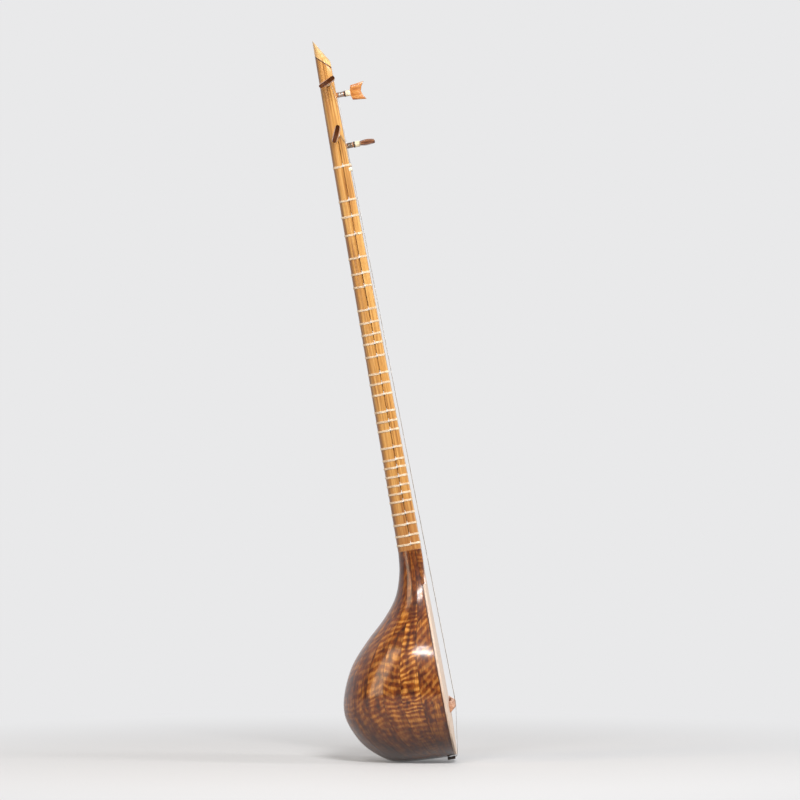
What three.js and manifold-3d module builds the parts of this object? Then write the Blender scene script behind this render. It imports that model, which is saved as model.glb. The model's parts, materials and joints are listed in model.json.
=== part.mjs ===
// Setar: a long-necked lute with four strings, standing on the tail of its bowl and leaning back.
// Millimetres, +Z up. Inside the leaning group the neck runs along +Z from the tail of the bowl,
// the front of the instrument faces +X and its bass side faces -Y.
import * as THREE from 'three';
import { mergeVertices } from 'three/addons/utils/BufferGeometryUtils.js';
import Module from 'manifold-3d';

const wasm = await Module();
wasm.setup();

// Fits shared by every piece
const CLEARANCE = 0.3;
const OVERRUN = 4;
const LEAN_ANGLE = THREE.MathUtils.degToRad(10.6);

// Bowl: depths are measured back from the front of the neck
const BOWL_LENGTH = 245;
const BOWL_WIDTH = 140;
const BOWL_DEPTH = 124.5;
const STAVE_COUNT = 13;
const STAVE_THICKNESS = 2.5;
const TAIL_OPENING_RADIUS = 8;

// Rim: half widths of the soundboard's edge and depths of the bowl's back, row by row from the tail.
// Each row is a share of the bowl's length and a share of the way from the narrow end to the widest row.
const RIM_SHARES = [
  [0, 0], [0.010, 0.258], [0.037, 0.516], [0.090, 0.758], [0.163, 0.919], [0.245, 0.992], [0.327, 1],
  [0.424, 0.945], [0.531, 0.789], [0.629, 0.569], [0.718, 0.349], [0.808, 0.174], [0.902, 0.055], [1, 0],
];
const BACK_SHARES = [
  [-0.006, 0], [0.001, 0.228], [0.012, 0.504], [0.043, 0.668], [0.122, 0.859], [0.224, 0.975], [0.310, 1],
  [0.408, 0.933], [0.514, 0.789], [0.612, 0.562], [0.702, 0.314], [0.792, 0.134], [0.898, 0.036], [1, 0],
];
const WIDEST_ROW = 6;

// Soundboard, its binding and the sound holes
const BOARD_EDGE_DEPTH = 3.2;
const BOARD_THICKNESS = 1.8;
const BOARD_CROWN = 2.4;
const BINDING_THICKNESS = 1;
const BINDING_WIDTH = 2.4;
const BOARD_SHOULDER_SHARE = 0.8;
const BOARD_TIP_SHARE = 0.91;
const CROWN_RISE_SHARE = 0.2;
const SOUND_HOLE_DIAMETER = 3;
const SOUND_HOLE_RING_RADIUS = 6.5;
const SOUND_HOLE_RING_COUNT = 6;
const SOUND_HOLE_SIDE_SHARE = 0.5;
const SOUND_HOLE_HEIGHT_SHARE = 0.5;

// Neck and head: a flat front, straight sides and a half-round back
const NECK_LENGTH = 450;
const NECK_WIDTH_AT_BOWL = 31;
const NECK_WIDTH_AT_NUT = 24.5;
const NECK_DEPTH_AT_BOWL = 27.5;
const NECK_DEPTH_AT_NUT = 19.5;
const HEAD_LENGTH = 158.5;
const HEAD_WIDTH_AT_TIP = 22;
const HEAD_DEPTH_AT_TIP = 16.3;
const NECK_EDGE_CHAMFER = 0.8;
const TENON_LENGTH = 18;
const TENON_WIDTH = 14;
const TENON_DEPTH = 11;
const FACET_START = 126;
const INLAY_START = 122;
const INLAY_RISE = 15.5;
const INLAY_THICKNESS = 1.8;

// Groove that the fret knots sit in
const GROOVE_WIDTH = 1.6;
const GROOVE_CUT = 1.2;
const GROOVE_DEPTH_SHARE = 0.39;
const GROOVE_START = 19;
const GROOVE_PAST_NUT = 36;

// Frets: three turns of gut each, at intervals above the open string in cents
const LAST_FRET_TO_BOWL = 7.4;
const FRET_CENTS = [
  91, 145, 208, 292, 352, 403, 497, 552, 604, 645, 705, 788, 838, 895,
  987, 1043, 1096, 1200, 1278, 1330, 1392, 1456, 1516, 1577, 1674, 1765, 1866, 1950,
];
const CENTS_PER_OCTAVE = 1200;
const GUT_DIAMETER = 0.5;
const GUT_PITCH = 0.95;
const FRET_TURNS = 3;
const TIE_PAST_NUT = 6.8;

// Nut and bridge
const NUT_THICKNESS = 3.5;
const NUT_HEIGHT = 2.3;
const NUT_SEAT_DEPTH = 1.5;
const NOTCH_WIDTH = 1.2;
const NOTCH_DEPTH = 0.8;
const BRIDGE_SHORT_OF_SCALE = 19;
const BRIDGE_LENGTH = 62;
const BRIDGE_HEIGHT = 7.2;
const BRIDGE_FOOT_WIDTH = 11;
const BRIDGE_TOP_WIDTH = 4;
const BRIDGE_ARCH_HEIGHT = 2.6;
const BRIDGE_TURN = THREE.MathUtils.degToRad(5);
const BRIDGE_STATION_SHARES = [-1, -0.86, -0.62, -0.5, -0.25, 0, 0.25, 0.5, 0.62, 0.86, 1];
const BRIDGE_TOP_SHARES = [0.5, 0.8, 1, 1, 1, 1, 1, 1, 1, 0.8, 0.5];
const BRIDGE_ARCH_SHARES = [0, 0, 0, 0.7, 1, 1, 1, 0.7, 0, 0, 0];
const BRIDGE_SHOULDER_SHARE = 0.25;

// Strings, from the treble side: diameter, then places across the nut, bridge and tail
const STRING_DIAMETERS = [0.25, 0.25, 0.3, 0.45];
const STRINGS_AT_NUT = [6.5, 1.5, -4.8, -7.2];
const STRINGS_AT_BRIDGE = [14, 4.5, -9.5, -12.5];
const STRINGS_AT_TAIL = [6, 2, -2.5, -6];
const STRING_LIFT_AT_TIE = 1.25;
const STRING_LIFT_AT_TAIL = 0.9;
const STRING_PEGS = [
  { side: false, level: 1 }, { side: false, level: 0 }, { side: true, level: 1 }, { side: true, level: 0 },
];
const EDGE_BEND_SHARE = 0.7;

// String holder: a comb under the tail with a dowel into the tail block
const HOLDER_WIDTH = 20;
const HOLDER_DEPTH = 9;
const HOLDER_THICKNESS = 3;
const HOLDER_PAST_RIM = 1;
const HOLDER_SLOT_WIDTH = 1.2;
const HOLDER_SLOT_LENGTH = 3;
const DOWEL_DIAMETER = 4;
const DOWEL_LENGTH = 14;

// Inner blocks
const TAIL_BLOCK_HEIGHT = 22;
const TAIL_BLOCK_DEPTH = 34;
const NECK_BLOCK_LENGTH = 44;

// Pegs: heights above the nut, then the parts of a peg from the wood outwards
const FRONT_PEG_HEIGHTS = [29.8, 90.4];
const SIDE_PEG_HEIGHTS = [43.4, 104.9];
const SIDE_PEG_DEPTH_SHARE = 0.41;
const PEG_DIAMETER = 6;
const PEG_BURIED_LENGTH = 12.5;
const PEG_BORE_CLEARANCE = 0.08;
const PEG_SHAFT_LENGTH = 9;
const PEG_RING_LENGTH = 1.6;
const PEG_RING_DIAMETER = 7.6;
const PEG_COLLAR_LENGTH = 6;
const PEG_COLLAR_DIAMETER = 7;
const PEG_TAIL_LENGTH = 17.5;
const PEG_TAIL_WIDTH = 21;
const PEG_TAIL_THICKNESS = 6;
const PEG_TAIL_DENT = 5;
const PEG_SHOULDER_WIDTH_SHARE = 0.88;
const PEG_SHOULDER_LENGTH_SHARE = 0.2;
const PEG_BEVEL = 1;
const FRONT_PEG_ROLLS = [0, THREE.MathUtils.degToRad(90)];
const SIDE_PEG_ROLLS = [THREE.MathUtils.degToRad(66), THREE.MathUtils.degToRad(25)];

// Turns of string on a peg
const COIL_TURNS = 6;
const COIL_PITCH = 1.1;
const COIL_START = 1.5;

// Counts that set how fine the facets are
const STAVE_ROWS = 20;
const STAVE_STEPS = 2;
const BOARD_ROWS = 18;
const BOARD_TIP_ROWS = 5;
const BOARD_COLUMNS = 8;
const BLOCK_STEPS = 14;
const SECTION_STEPS = 24;
const FRET_ARC_STEPS = 7;
const COIL_STEPS = 10;
const CORD_SIDES = 4;
const ROUND_SIDES = 16;
const HOLE_SIDES = 6;
const TAIL_CURVE_STEPS = 5;
const ARC_SAMPLES = 720;
const GAP_SAMPLES = 4;
const HALVINGS = 32;
const NUDGE = 1e-3;

// Sizes that follow from the ones above
const BINDING_DEPTH = BOARD_EDGE_DEPTH + BOARD_THICKNESS + CLEARANCE;
const RIM_DEPTH = BINDING_DEPTH + BINDING_THICKNESS + CLEARANCE;
const NUT_HEIGHT_ON_NECK = BOWL_LENGTH + NECK_LENGTH;
const HEAD_TOP = NUT_HEIGHT_ON_NECK + HEAD_LENGTH;
const stoppedShare = (cents) => 1 - 2 ** (-cents / CENTS_PER_OCTAVE);
const SCALE_LENGTH = (NECK_LENGTH - LAST_FRET_TO_BOWL) / stoppedShare(FRET_CENTS.at(-1));
const BRIDGE_HEIGHT_ON_BOARD = NUT_HEIGHT_ON_NECK - SCALE_LENGTH + BRIDGE_SHORT_OF_SCALE;
const SIDE_SHARE = RIM_DEPTH / NECK_DEPTH_AT_BOWL;
const GUT_LIFT = CLEARANCE + GUT_DIAMETER / 2;

// Finishes
const finish = (color, roughness, metalness = 0) =>
  new THREE.MeshStandardMaterial({ color, roughness, metalness });
const WALNUT = finish(0x6b3414, 0.3);
const WALNUT_LIGHT = finish(0x8a4c1e, 0.3);
const DARK_WOOD = finish(0x2c160c, 0.45);
const BOARD_WOOD = finish(0xe0c5a3, 0.6);
const NECK_WOOD = finish(0xd79a4b, 0.45);
const PEG_WOOD = finish(0xa4552a, 0.35);
const BRIDGE_WOOD = finish(0xb9704c, 0.55);
const FINIAL_WOOD = finish(0xe7c794, 0.5);
const BLOCK_WOOD = finish(0xc9ab7c, 0.8);
const BONE = finish(0xf0e6cf, 0.4);
const GUT = finish(0xe9d9ab, 0.5);
const STEEL = finish(0xc8c9cc, 0.25, 1);
const BRASS = finish(0xd4a94e, 0.3, 1);

const instrument = new THREE.Group();

function addPiece(name, geometry, material, parent = instrument) {
  const mesh = new THREE.Mesh(geometry, material);
  mesh.name = name;
  parent.add(mesh);
  return mesh;
}

// A closed body through rings of equally many points. A looped body joins its last ring to its first.
function loft(rings, looped = false) {
  const size = rings[0].length;
  const positions = rings.flat().flatMap((point) => point.toArray());
  const faces = [];
  const joins = looped ? rings.length : rings.length - 1;
  for (let row = 0; row < joins; row += 1) {
    const next = (row + 1) % rings.length;
    for (let column = 0; column < size; column += 1) {
      const beside = (column + 1) % size;
      const a = row * size + column;
      const b = row * size + beside;
      const c = next * size + beside;
      const d = next * size + column;
      faces.push([a, b, c], [a, c, d]);
    }
  }
  if (!looped) {
    const last = (rings.length - 1) * size;
    capFaces(rings[0]).forEach(([a, b, c]) => faces.push([a, c, b]));
    capFaces(rings.at(-1)).forEach(([a, b, c]) => faces.push([a + last, b + last, c + last]));
  }
  return facingOut(positions, faces);
}

// Triangles that fill a ring, turning the same way as the ring does
function capFaces(ring) {
  const normal = new THREE.Vector3();
  ring.forEach((point, index) => {
    normal.add(new THREE.Vector3().crossVectors(point, ring[(index + 1) % ring.length]));
  });
  normal.normalize();
  const across = new THREE.Vector3().subVectors(ring[1], ring[0]);
  across.addScaledVector(normal, -across.dot(normal)).normalize();
  const up = new THREE.Vector3().crossVectors(normal, across);
  const flat = ring.map((point) => new THREE.Vector2(point.dot(across), point.dot(up)));
  return THREE.ShapeUtils.triangulateShape(flat, []);
}

function facingOut(positions, faces) {
  const corner = (index) => new THREE.Vector3().fromArray(positions, index * 3);
  const volume = faces.reduce(
    (sum, [a, b, c]) => sum + corner(a).dot(corner(b).cross(corner(c))), 0);
  const order = volume < 0 ? faces.map(([a, b, c]) => [a, c, b]) : faces;
  const geometry = new THREE.BufferGeometry();
  geometry.setAttribute('position', new THREE.Float32BufferAttribute(positions, 3));
  geometry.setIndex(order.flat());
  geometry.computeVertexNormals();
  return geometry;
}

// Joins and cuts
function toSolid(geometry) {
  const bare = new THREE.BufferGeometry();
  bare.setAttribute('position', geometry.getAttribute('position').clone());
  bare.setIndex(geometry.index);
  const merged = mergeVertices(bare);
  const corners = Array.from(merged.index.array);
  const faces = [];
  for (let start = 0; start < corners.length; start += 3) {
    const [a, b, c] = corners.slice(start, start + 3);
    if (a !== b && b !== c && c !== a) faces.push(a, b, c);
  }
  return new wasm.Manifold(new wasm.Mesh({
    numProp: 3,
    vertProperties: Float32Array.from(merged.getAttribute('position').array),
    triVerts: Uint32Array.from(faces),
  }));
}

function toGeometry(solid) {
  const mesh = solid.getMesh();
  const geometry = new THREE.BufferGeometry();
  geometry.setAttribute('position', new THREE.Float32BufferAttribute(mesh.vertProperties, mesh.numProp));
  geometry.setIndex(Array.from(mesh.triVerts));
  geometry.computeVertexNormals();
  return geometry;
}

// A block between two corners
function block(low, high) {
  const size = new THREE.Vector3().subVectors(high, low);
  const centre = new THREE.Vector3().addVectors(low, high).multiplyScalar(0.5);
  return new THREE.BoxGeometry(size.x, size.y, size.z).translate(centre.x, centre.y, centre.z);
}

// A prism that stands on an outline of [y, height] pairs and runs between two depths behind the front
function slabFromOutline(outline, frontDepth, backDepth) {
  const ring = (depth) => outline.map(([y, z]) => new THREE.Vector3(-depth, y, z));
  return loft([ring(frontDepth), ring(backDepth)]);
}

// A prism across the instrument on an outline of [x, height] pairs
function slabAcross(outline, halfWidth) {
  const ring = (y) => outline.map(([x, z]) => new THREE.Vector3(x, y, z));
  return loft([ring(-halfWidth), ring(halfWidth)]);
}

// Round rods along X and Y
function rodAlongX(radius, startX, endX, y, z, sides = ROUND_SIDES) {
  const rod = new THREE.CylinderGeometry(radius, radius, endX - startX, sides);
  return rod.rotateZ(-Math.PI / 2).translate((startX + endX) / 2, y, z);
}

function rodAlongY(radius, startY, endY, x, z) {
  const rod = new THREE.CylinderGeometry(radius, radius, endY - startY, ROUND_SIDES);
  return rod.translate(x, (startY + endY) / 2, z);
}

// A cord or wire of constant thickness along a list of points
function cord(points, radius) {
  const side = new THREE.Vector3();
  const rings = points.map((point, index) => {
    const before = points[Math.max(index - 1, 0)];
    const after = points[Math.min(index + 1, points.length - 1)];
    const arriving = new THREE.Vector3().subVectors(point, before).normalize();
    const leaving = new THREE.Vector3().subVectors(after, point).normalize();
    const along = new THREE.Vector3().addVectors(arriving, leaving).normalize();
    if (index === 0) {
      const helper = Math.abs(along.y) < Math.abs(along.z) ? [0, 1, 0] : [1, 0, 0];
      side.fromArray(helper);
    }
    side.addScaledVector(along, -side.dot(along)).normalize();
    const up = new THREE.Vector3().crossVectors(along, side);
    return Array.from({ length: CORD_SIDES }, (_, corner) => {
      const angle = (2 * Math.PI * (corner + 0.5)) / CORD_SIDES;
      return point.clone()
        .addScaledVector(side, radius * Math.cos(angle))
        .addScaledVector(up, radius * Math.sin(angle));
    });
  });
  return loft(rings);
}

// The least gap between the turns of a wound cord, measured on points along it
function leastTurnGap(points, diameter, turnLength) {
  const spots = [];
  let travelled = 0;
  for (let index = 1; index < points.length; index += 1) {
    const reach = points[index].distanceTo(points[index - 1]);
    for (let step = 0; step < GAP_SAMPLES; step += 1) {
      const share = step / GAP_SAMPLES;
      const spot = points[index - 1].clone().lerp(points[index], share);
      spots.push({ spot, run: travelled + reach * share });
    }
    travelled += reach;
  }
  let least = Infinity;
  spots.forEach((one, index) => {
    spots.slice(index + 1).forEach((other) => {
      if (other.run - one.run > turnLength / 2) {
        least = Math.min(least, one.spot.distanceTo(other.spot) - diameter);
      }
    });
  });
  return least;
}

// Bowl surface. The turn runs from the bass rim over the back to the treble rim, the run from 0 at
// the tail to 1 at the neck.
const between = (low, high, share) => low + (high - low) * share;
const spreadRows = (shares, atTail, widest, atNeck) => new THREE.SplineCurve(
  shares.map(([rise, spread], row) => new THREE.Vector2(
    between(row < WIDEST_ROW ? atTail : atNeck, widest, spread),
    rise * BOWL_LENGTH,
  )));
const rimCurve = spreadRows(RIM_SHARES, TAIL_OPENING_RADIUS, BOWL_WIDTH / 2, NECK_WIDTH_AT_BOWL / 2);
const backCurve = spreadRows(
  BACK_SHARES, TAIL_OPENING_RADIUS, BOWL_DEPTH - RIM_DEPTH, NECK_DEPTH_AT_BOWL - RIM_DEPTH);

function bowlSurface(turn, run) {
  const rim = rimCurve.getPoint(run);
  const back = backCurve.getPoint(run);
  const backShare = Math.sin(turn) ** 2;
  return new THREE.Vector3(
    -RIM_DEPTH - back.x * Math.sin(turn),
    -rim.x * Math.cos(turn),
    between(rim.y, back.y, backShare),
  );
}

function bowlFrame(turn, run) {
  const low = Math.max(run - NUDGE, 0);
  const high = Math.min(run + NUDGE, 1);
  const along = bowlSurface(turn, high).sub(bowlSurface(turn, low)).normalize();
  const around = bowlSurface(turn + NUDGE, run).sub(bowlSurface(turn - NUDGE, run)).normalize();
  const outward = new THREE.Vector3().crossVectors(along, around).normalize();
  return { point: bowlSurface(turn, run), around, outward };
}

// Turns at which the joints between the staves lie: equal widths round the widest section
function staveTurns() {
  const halfWidth = BOWL_WIDTH / 2;
  const depth = BOWL_DEPTH - RIM_DEPTH;
  const lengths = [0];
  for (let sample = 1; sample <= ARC_SAMPLES; sample += 1) {
    const turn = (Math.PI * (sample - 0.5)) / ARC_SAMPLES;
    lengths.push(lengths.at(-1) + Math.hypot(halfWidth * Math.sin(turn), depth * Math.cos(turn)));
  }
  return Array.from({ length: STAVE_COUNT + 1 }, (_, joint) => {
    const wanted = (lengths.at(-1) * joint) / STAVE_COUNT;
    const sample = lengths.findIndex((length) => length >= wanted);
    return (Math.PI * sample) / ARC_SAMPLES;
  });
}

// One stave: its outside lies on the bowl and its edges leave half a clearance to the next stave
function staveGeometry(startTurn, endTurn) {
  const rings = Array.from({ length: STAVE_ROWS + 1 }, (_, row) => {
    const outside = [];
    const inside = [];
    for (let step = 0; step <= STAVE_STEPS; step += 1) {
      const turn = between(startTurn, endTurn, step / STAVE_STEPS);
      const { point, around, outward } = bowlFrame(turn, row / STAVE_ROWS);
      if (step === 0) point.addScaledVector(around, CLEARANCE / 2);
      if (step === STAVE_STEPS) point.addScaledVector(around, -CLEARANCE / 2);
      outside.push(point);
      inside.unshift(point.clone().addScaledVector(outward, -STAVE_THICKNESS));
    }
    return [...outside, ...inside];
  });
  return loft(rings);
}

const staveJoints = staveTurns();
for (let stave = 1; stave <= STAVE_COUNT; stave += 1) {
  const name = `stave_${String(stave).padStart(2, '0')}`;
  const material = stave % 2 ? WALNUT : WALNUT_LIGHT;
  addPiece(name, staveGeometry(staveJoints[stave - 1], staveJoints[stave]), material);
}

// The room inside the staves, from just behind the soundboard
function bowlRoom() {
  const inset = STAVE_THICKNESS + CLEARANCE;
  const rings = Array.from({ length: STAVE_ROWS + 1 }, (_, row) => {
    const ring = Array.from({ length: BLOCK_STEPS + 1 }, (_, step) => {
      const turn = (Math.PI * step) / BLOCK_STEPS;
      const { point, outward } = bowlFrame(turn, row / STAVE_ROWS);
      return point.addScaledVector(outward, -inset);
    });
    const frontX = -BINDING_DEPTH;
    const first = ring[0].clone().setX(frontX);
    const last = ring.at(-1).clone().setX(frontX);
    return [first, ...ring, last];
  });
  return toSolid(loft(rings));
}

// Outline of the soundboard as [half width, height] rows from the tail to the pointed arch
function boardRows() {
  const rows = [];
  const shoulderRun = runAtRimHeight(BOARD_SHOULDER_SHARE * BOWL_LENGTH);
  for (let row = 0; row <= BOARD_ROWS; row += 1) {
    const rim = rimCurve.getPoint((shoulderRun * row) / BOARD_ROWS);
    rows.push([rim.x, rim.y]);
  }
  const [shoulderWidth, shoulderHeight] = rows.at(-1);
  const tipHeight = BOARD_TIP_SHARE * BOWL_LENGTH;
  for (let row = 1; row < BOARD_TIP_ROWS; row += 1) {
    const share = row / BOARD_TIP_ROWS;
    const width = shoulderWidth * Math.cos((share * Math.PI) / 2);
    rows.push([width, between(shoulderHeight, tipHeight, share)]);
  }
  return rows;
}

function runAtRimHeight(height) {
  let low = 0;
  let high = 1;
  for (let pass = 0; pass < HALVINGS; pass += 1) {
    const middle = (low + high) / 2;
    if (rimCurve.getPoint(middle).y < height) low = middle;
    else high = middle;
  }
  return (low + high) / 2;
}

// Front of the soundboard: highest on the centre line, level with its edge at the tail
function boardFront(y, height) {
  const halfWidth = rimCurve.getPoint(runAtRimHeight(height)).x;
  const rise = THREE.MathUtils.smoothstep(height, 0, CROWN_RISE_SHARE * BOWL_LENGTH);
  const across = Math.min(Math.abs(y) / halfWidth, 1);
  return -BOARD_EDGE_DEPTH + BOARD_CROWN * rise * (1 - across ** 2);
}

// Closed outline round the soundboard as [y, height] pairs, drawn in or let out by a margin
function boardOutline(margin) {
  const rows = boardRows();
  const half = rows.map(([width, height]) => new THREE.Vector2(width, height));
  const outline = [...half, ...half.map((point) => new THREE.Vector2(-point.x, point.y)).reverse()];
  return outline.map((point, index) => {
    const before = outline[(index + outline.length - 1) % outline.length];
    const after = outline[(index + 1) % outline.length];
    const arriving = new THREE.Vector2().subVectors(point, before).normalize();
    const leaving = new THREE.Vector2().subVectors(after, point).normalize();
    const along = new THREE.Vector2().addVectors(arriving, leaving).normalize();
    const widening = margin / Math.max(along.dot(leaving), Math.SQRT1_2);
    return [point.x + along.y * widening, point.y - along.x * widening];
  });
}

function soundboardGeometry() {
  const rings = boardRows().map(([width, height]) => {
    const columns = Array.from({ length: BOARD_COLUMNS + 1 }, (_, column) =>
      between(-width, width, column / BOARD_COLUMNS));
    const front = columns.map((y) => new THREE.Vector3(boardFront(y, height), y, height));
    const back = front.map((point) => point.clone().setX(point.x - BOARD_THICKNESS)).reverse();
    return [...front, ...back];
  });
  let board = toSolid(loft(rings));
  const holeHeight = SOUND_HOLE_HEIGHT_SHARE * BOWL_LENGTH;
  const holeSide = SOUND_HOLE_SIDE_SHARE * rimCurve.getPoint(runAtRimHeight(holeHeight)).x;
  [-holeSide, holeSide].forEach((centreY) => {
    const spots = [[centreY, holeHeight]];
    for (let hole = 0; hole < SOUND_HOLE_RING_COUNT; hole += 1) {
      const angle = (2 * Math.PI * hole) / SOUND_HOLE_RING_COUNT;
      spots.push([
        centreY + SOUND_HOLE_RING_RADIUS * Math.cos(angle),
        holeHeight + SOUND_HOLE_RING_RADIUS * Math.sin(angle),
      ]);
    }
    spots.forEach(([y, z]) => {
      const drill = rodAlongX(SOUND_HOLE_DIAMETER / 2, -RIM_DEPTH, OVERRUN, y, z, HOLE_SIDES);
      board = board.subtract(toSolid(drill));
    });
  });
  return toGeometry(board);
}

function edgeBindingGeometry() {
  const outer = boardOutline(0);
  const inner = boardOutline(-BINDING_WIDTH);
  const backDepth = BINDING_DEPTH + BINDING_THICKNESS;
  const rings = outer.map(([outerY, outerZ], index) => {
    const [innerY, innerZ] = inner[index];
    return [
      new THREE.Vector3(-BINDING_DEPTH, outerY, outerZ),
      new THREE.Vector3(-BINDING_DEPTH, innerY, innerZ),
      new THREE.Vector3(-backDepth, innerY, innerZ),
      new THREE.Vector3(-backDepth, outerY, outerZ),
    ];
  });
  return loft(rings, true);
}

addPiece('edge_binding', edgeBindingGeometry(), DARK_WOOD);
addPiece('soundboard', soundboardGeometry(), BOARD_WOOD);

// Neck section at a height: half width, whole depth and the depth at which the round back begins
function neckSize(height) {
  if (height < NUT_HEIGHT_ON_NECK) {
    const share = (height - BOWL_LENGTH) / NECK_LENGTH;
    const depth = between(NECK_DEPTH_AT_BOWL, NECK_DEPTH_AT_NUT, share);
    const width = between(NECK_WIDTH_AT_BOWL, NECK_WIDTH_AT_NUT, share);
    return { halfWidth: width / 2, depth, sideDepth: depth * SIDE_SHARE };
  }
  const share = (height - NUT_HEIGHT_ON_NECK) / HEAD_LENGTH;
  const depth = between(NECK_DEPTH_AT_NUT, HEAD_DEPTH_AT_TIP, share);
  const width = between(NECK_WIDTH_AT_NUT, HEAD_WIDTH_AT_TIP, share);
  return { halfWidth: width / 2, depth, sideDepth: depth * SIDE_SHARE };
}

function neckRing(height) {
  const { halfWidth, depth, sideDepth } = neckSize(height);
  const ring = [
    new THREE.Vector3(0, -halfWidth + NECK_EDGE_CHAMFER, height),
    new THREE.Vector3(0, halfWidth - NECK_EDGE_CHAMFER, height),
    new THREE.Vector3(-NECK_EDGE_CHAMFER, halfWidth, height),
  ];
  for (let step = 0; step <= SECTION_STEPS; step += 1) {
    const turn = (Math.PI * step) / SECTION_STEPS;
    const x = -sideDepth - (depth - sideDepth) * Math.sin(turn);
    ring.push(new THREE.Vector3(x, halfWidth * Math.cos(turn), height));
  }
  ring.push(new THREE.Vector3(-NECK_EDGE_CHAMFER, -halfWidth, height));
  return ring;
}

// A slice of the head between two slanted planes, each given by its height above the inlay's underside
function slantedSlice(low, high) {
  const slope = INLAY_RISE / HEAD_DEPTH_AT_TIP;
  const reach = NECK_WIDTH_AT_BOWL;
  const startX = -inlayStartDepth();
  const baseHeight = NUT_HEIGHT_ON_NECK + INLAY_START;
  const planeHeight = (x, lift) => baseHeight + lift + (startX - x) * slope;
  const outline = [
    [reach, planeHeight(reach, low)], [-reach, planeHeight(-reach, low)],
    [-reach, planeHeight(-reach, high)], [reach, planeHeight(reach, high)],
  ];
  return toSolid(slabAcross(outline, reach));
}

// Depth at which the underside of the inlay meets the facet, or none where it meets the front below it
function inlayStartDepth() {
  const aboveFacetStart = Math.max(0, INLAY_START - FACET_START);
  return (HEAD_DEPTH_AT_TIP * aboveFacetStart) / (HEAD_LENGTH - FACET_START);
}

// Everything in front of the facet that slopes from the front of the head up to its tip
function facetCutter() {
  const start = NUT_HEIGHT_ON_NECK + FACET_START;
  const slope = (HEAD_LENGTH - FACET_START) / HEAD_DEPTH_AT_TIP;
  const reach = NECK_WIDTH_AT_BOWL;
  const outline = [
    [OVERRUN, start - OVERRUN * slope],
    [-reach, start + reach * slope],
    [OVERRUN, start + reach * slope],
  ];
  return toSolid(slabAcross(outline, reach));
}

function grooveCutter() {
  const start = BOWL_LENGTH + GROOVE_START;
  const end = NUT_HEIGHT_ON_NECK + GROOVE_PAST_NUT;
  const rings = [start, NUT_HEIGHT_ON_NECK, end].map((height) => {
    const { halfWidth, depth } = neckSize(height);
    const middleX = -depth * GROOVE_DEPTH_SHARE;
    const floorY = -grooveSurface(height) + GROOVE_CUT;
    return [
      new THREE.Vector3(middleX + GROOVE_WIDTH / 2, -halfWidth - OVERRUN, height),
      new THREE.Vector3(middleX - GROOVE_WIDTH / 2, -halfWidth - OVERRUN, height),
      new THREE.Vector3(middleX, floorY, height),
    ];
  });
  return toSolid(loft(rings));
}

// Half width of the neck at the depth of the groove
function grooveSurface(height) {
  const { halfWidth, depth, sideDepth } = neckSize(height);
  const past = (depth * GROOVE_DEPTH_SHARE - sideDepth) / (depth - sideDepth);
  return halfWidth * Math.sqrt(1 - Math.max(past, 0) ** 2);
}

// The tenon at the foot of the neck, or the mortise that takes it when a margin is given
function tenon(margin) {
  const middleX = -NECK_DEPTH_AT_BOWL / 2;
  const low = new THREE.Vector3(
    middleX - TENON_DEPTH / 2 - margin, -TENON_WIDTH / 2 - margin, BOWL_LENGTH - TENON_LENGTH - margin);
  const high = new THREE.Vector3(
    middleX + TENON_DEPTH / 2 + margin, TENON_WIDTH / 2 + margin, BOWL_LENGTH + OVERRUN);
  return toSolid(block(low, high));
}

function sidePegX(height) {
  return -neckSize(height).depth * SIDE_PEG_DEPTH_SHARE;
}

function nutSeat() {
  const low = new THREE.Vector3(-NUT_SEAT_DEPTH, -NECK_WIDTH_AT_NUT, NUT_HEIGHT_ON_NECK - CLEARANCE);
  const high = new THREE.Vector3(
    OVERRUN, NECK_WIDTH_AT_NUT, NUT_HEIGHT_ON_NECK + NUT_THICKNESS + CLEARANCE);
  return toSolid(block(low, high));
}

function pegBores() {
  const radius = PEG_DIAMETER / 2 + PEG_BORE_CLEARANCE;
  const depth = PEG_BURIED_LENGTH + CLEARANCE;
  const front = FRONT_PEG_HEIGHTS.map((height) =>
    rodAlongX(radius, -depth, OVERRUN, 0, NUT_HEIGHT_ON_NECK + height));
  const side = SIDE_PEG_HEIGHTS.map((height) => {
    const z = NUT_HEIGHT_ON_NECK + height;
    const { halfWidth } = neckSize(z);
    return rodAlongY(radius, -halfWidth - OVERRUN, -halfWidth + depth, sidePegX(z), z);
  });
  return [...front, ...side].map(toSolid);
}

function headPieces() {
  const heights = [BOWL_LENGTH + CLEARANCE, NUT_HEIGHT_ON_NECK, HEAD_TOP];
  const whole = toSolid(loft(heights.map(neckRing))).subtract(facetCutter());
  const farBelow = -HEAD_TOP;
  const lower = whole.intersect(slantedSlice(farBelow, -CLEARANCE));
  const inlay = whole.intersect(slantedSlice(0, INLAY_THICKNESS));
  const finial = whole.intersect(slantedSlice(INLAY_THICKNESS + CLEARANCE, HEAD_LENGTH));
  let neck = lower.add(tenon(0)).subtract(grooveCutter()).subtract(nutSeat());
  pegBores().forEach((bore) => {
    neck = neck.subtract(bore);
  });
  return { neck, inlay, finial };
}

const head = headPieces();
addPiece('neck', toGeometry(head.neck), NECK_WOOD);
addPiece('finial_inlay', toGeometry(head.inlay), DARK_WOOD);
addPiece('head_finial', toGeometry(head.finial), FINIAL_WOOD);

// Blocks inside the bowl
const room = bowlRoom();

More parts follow.
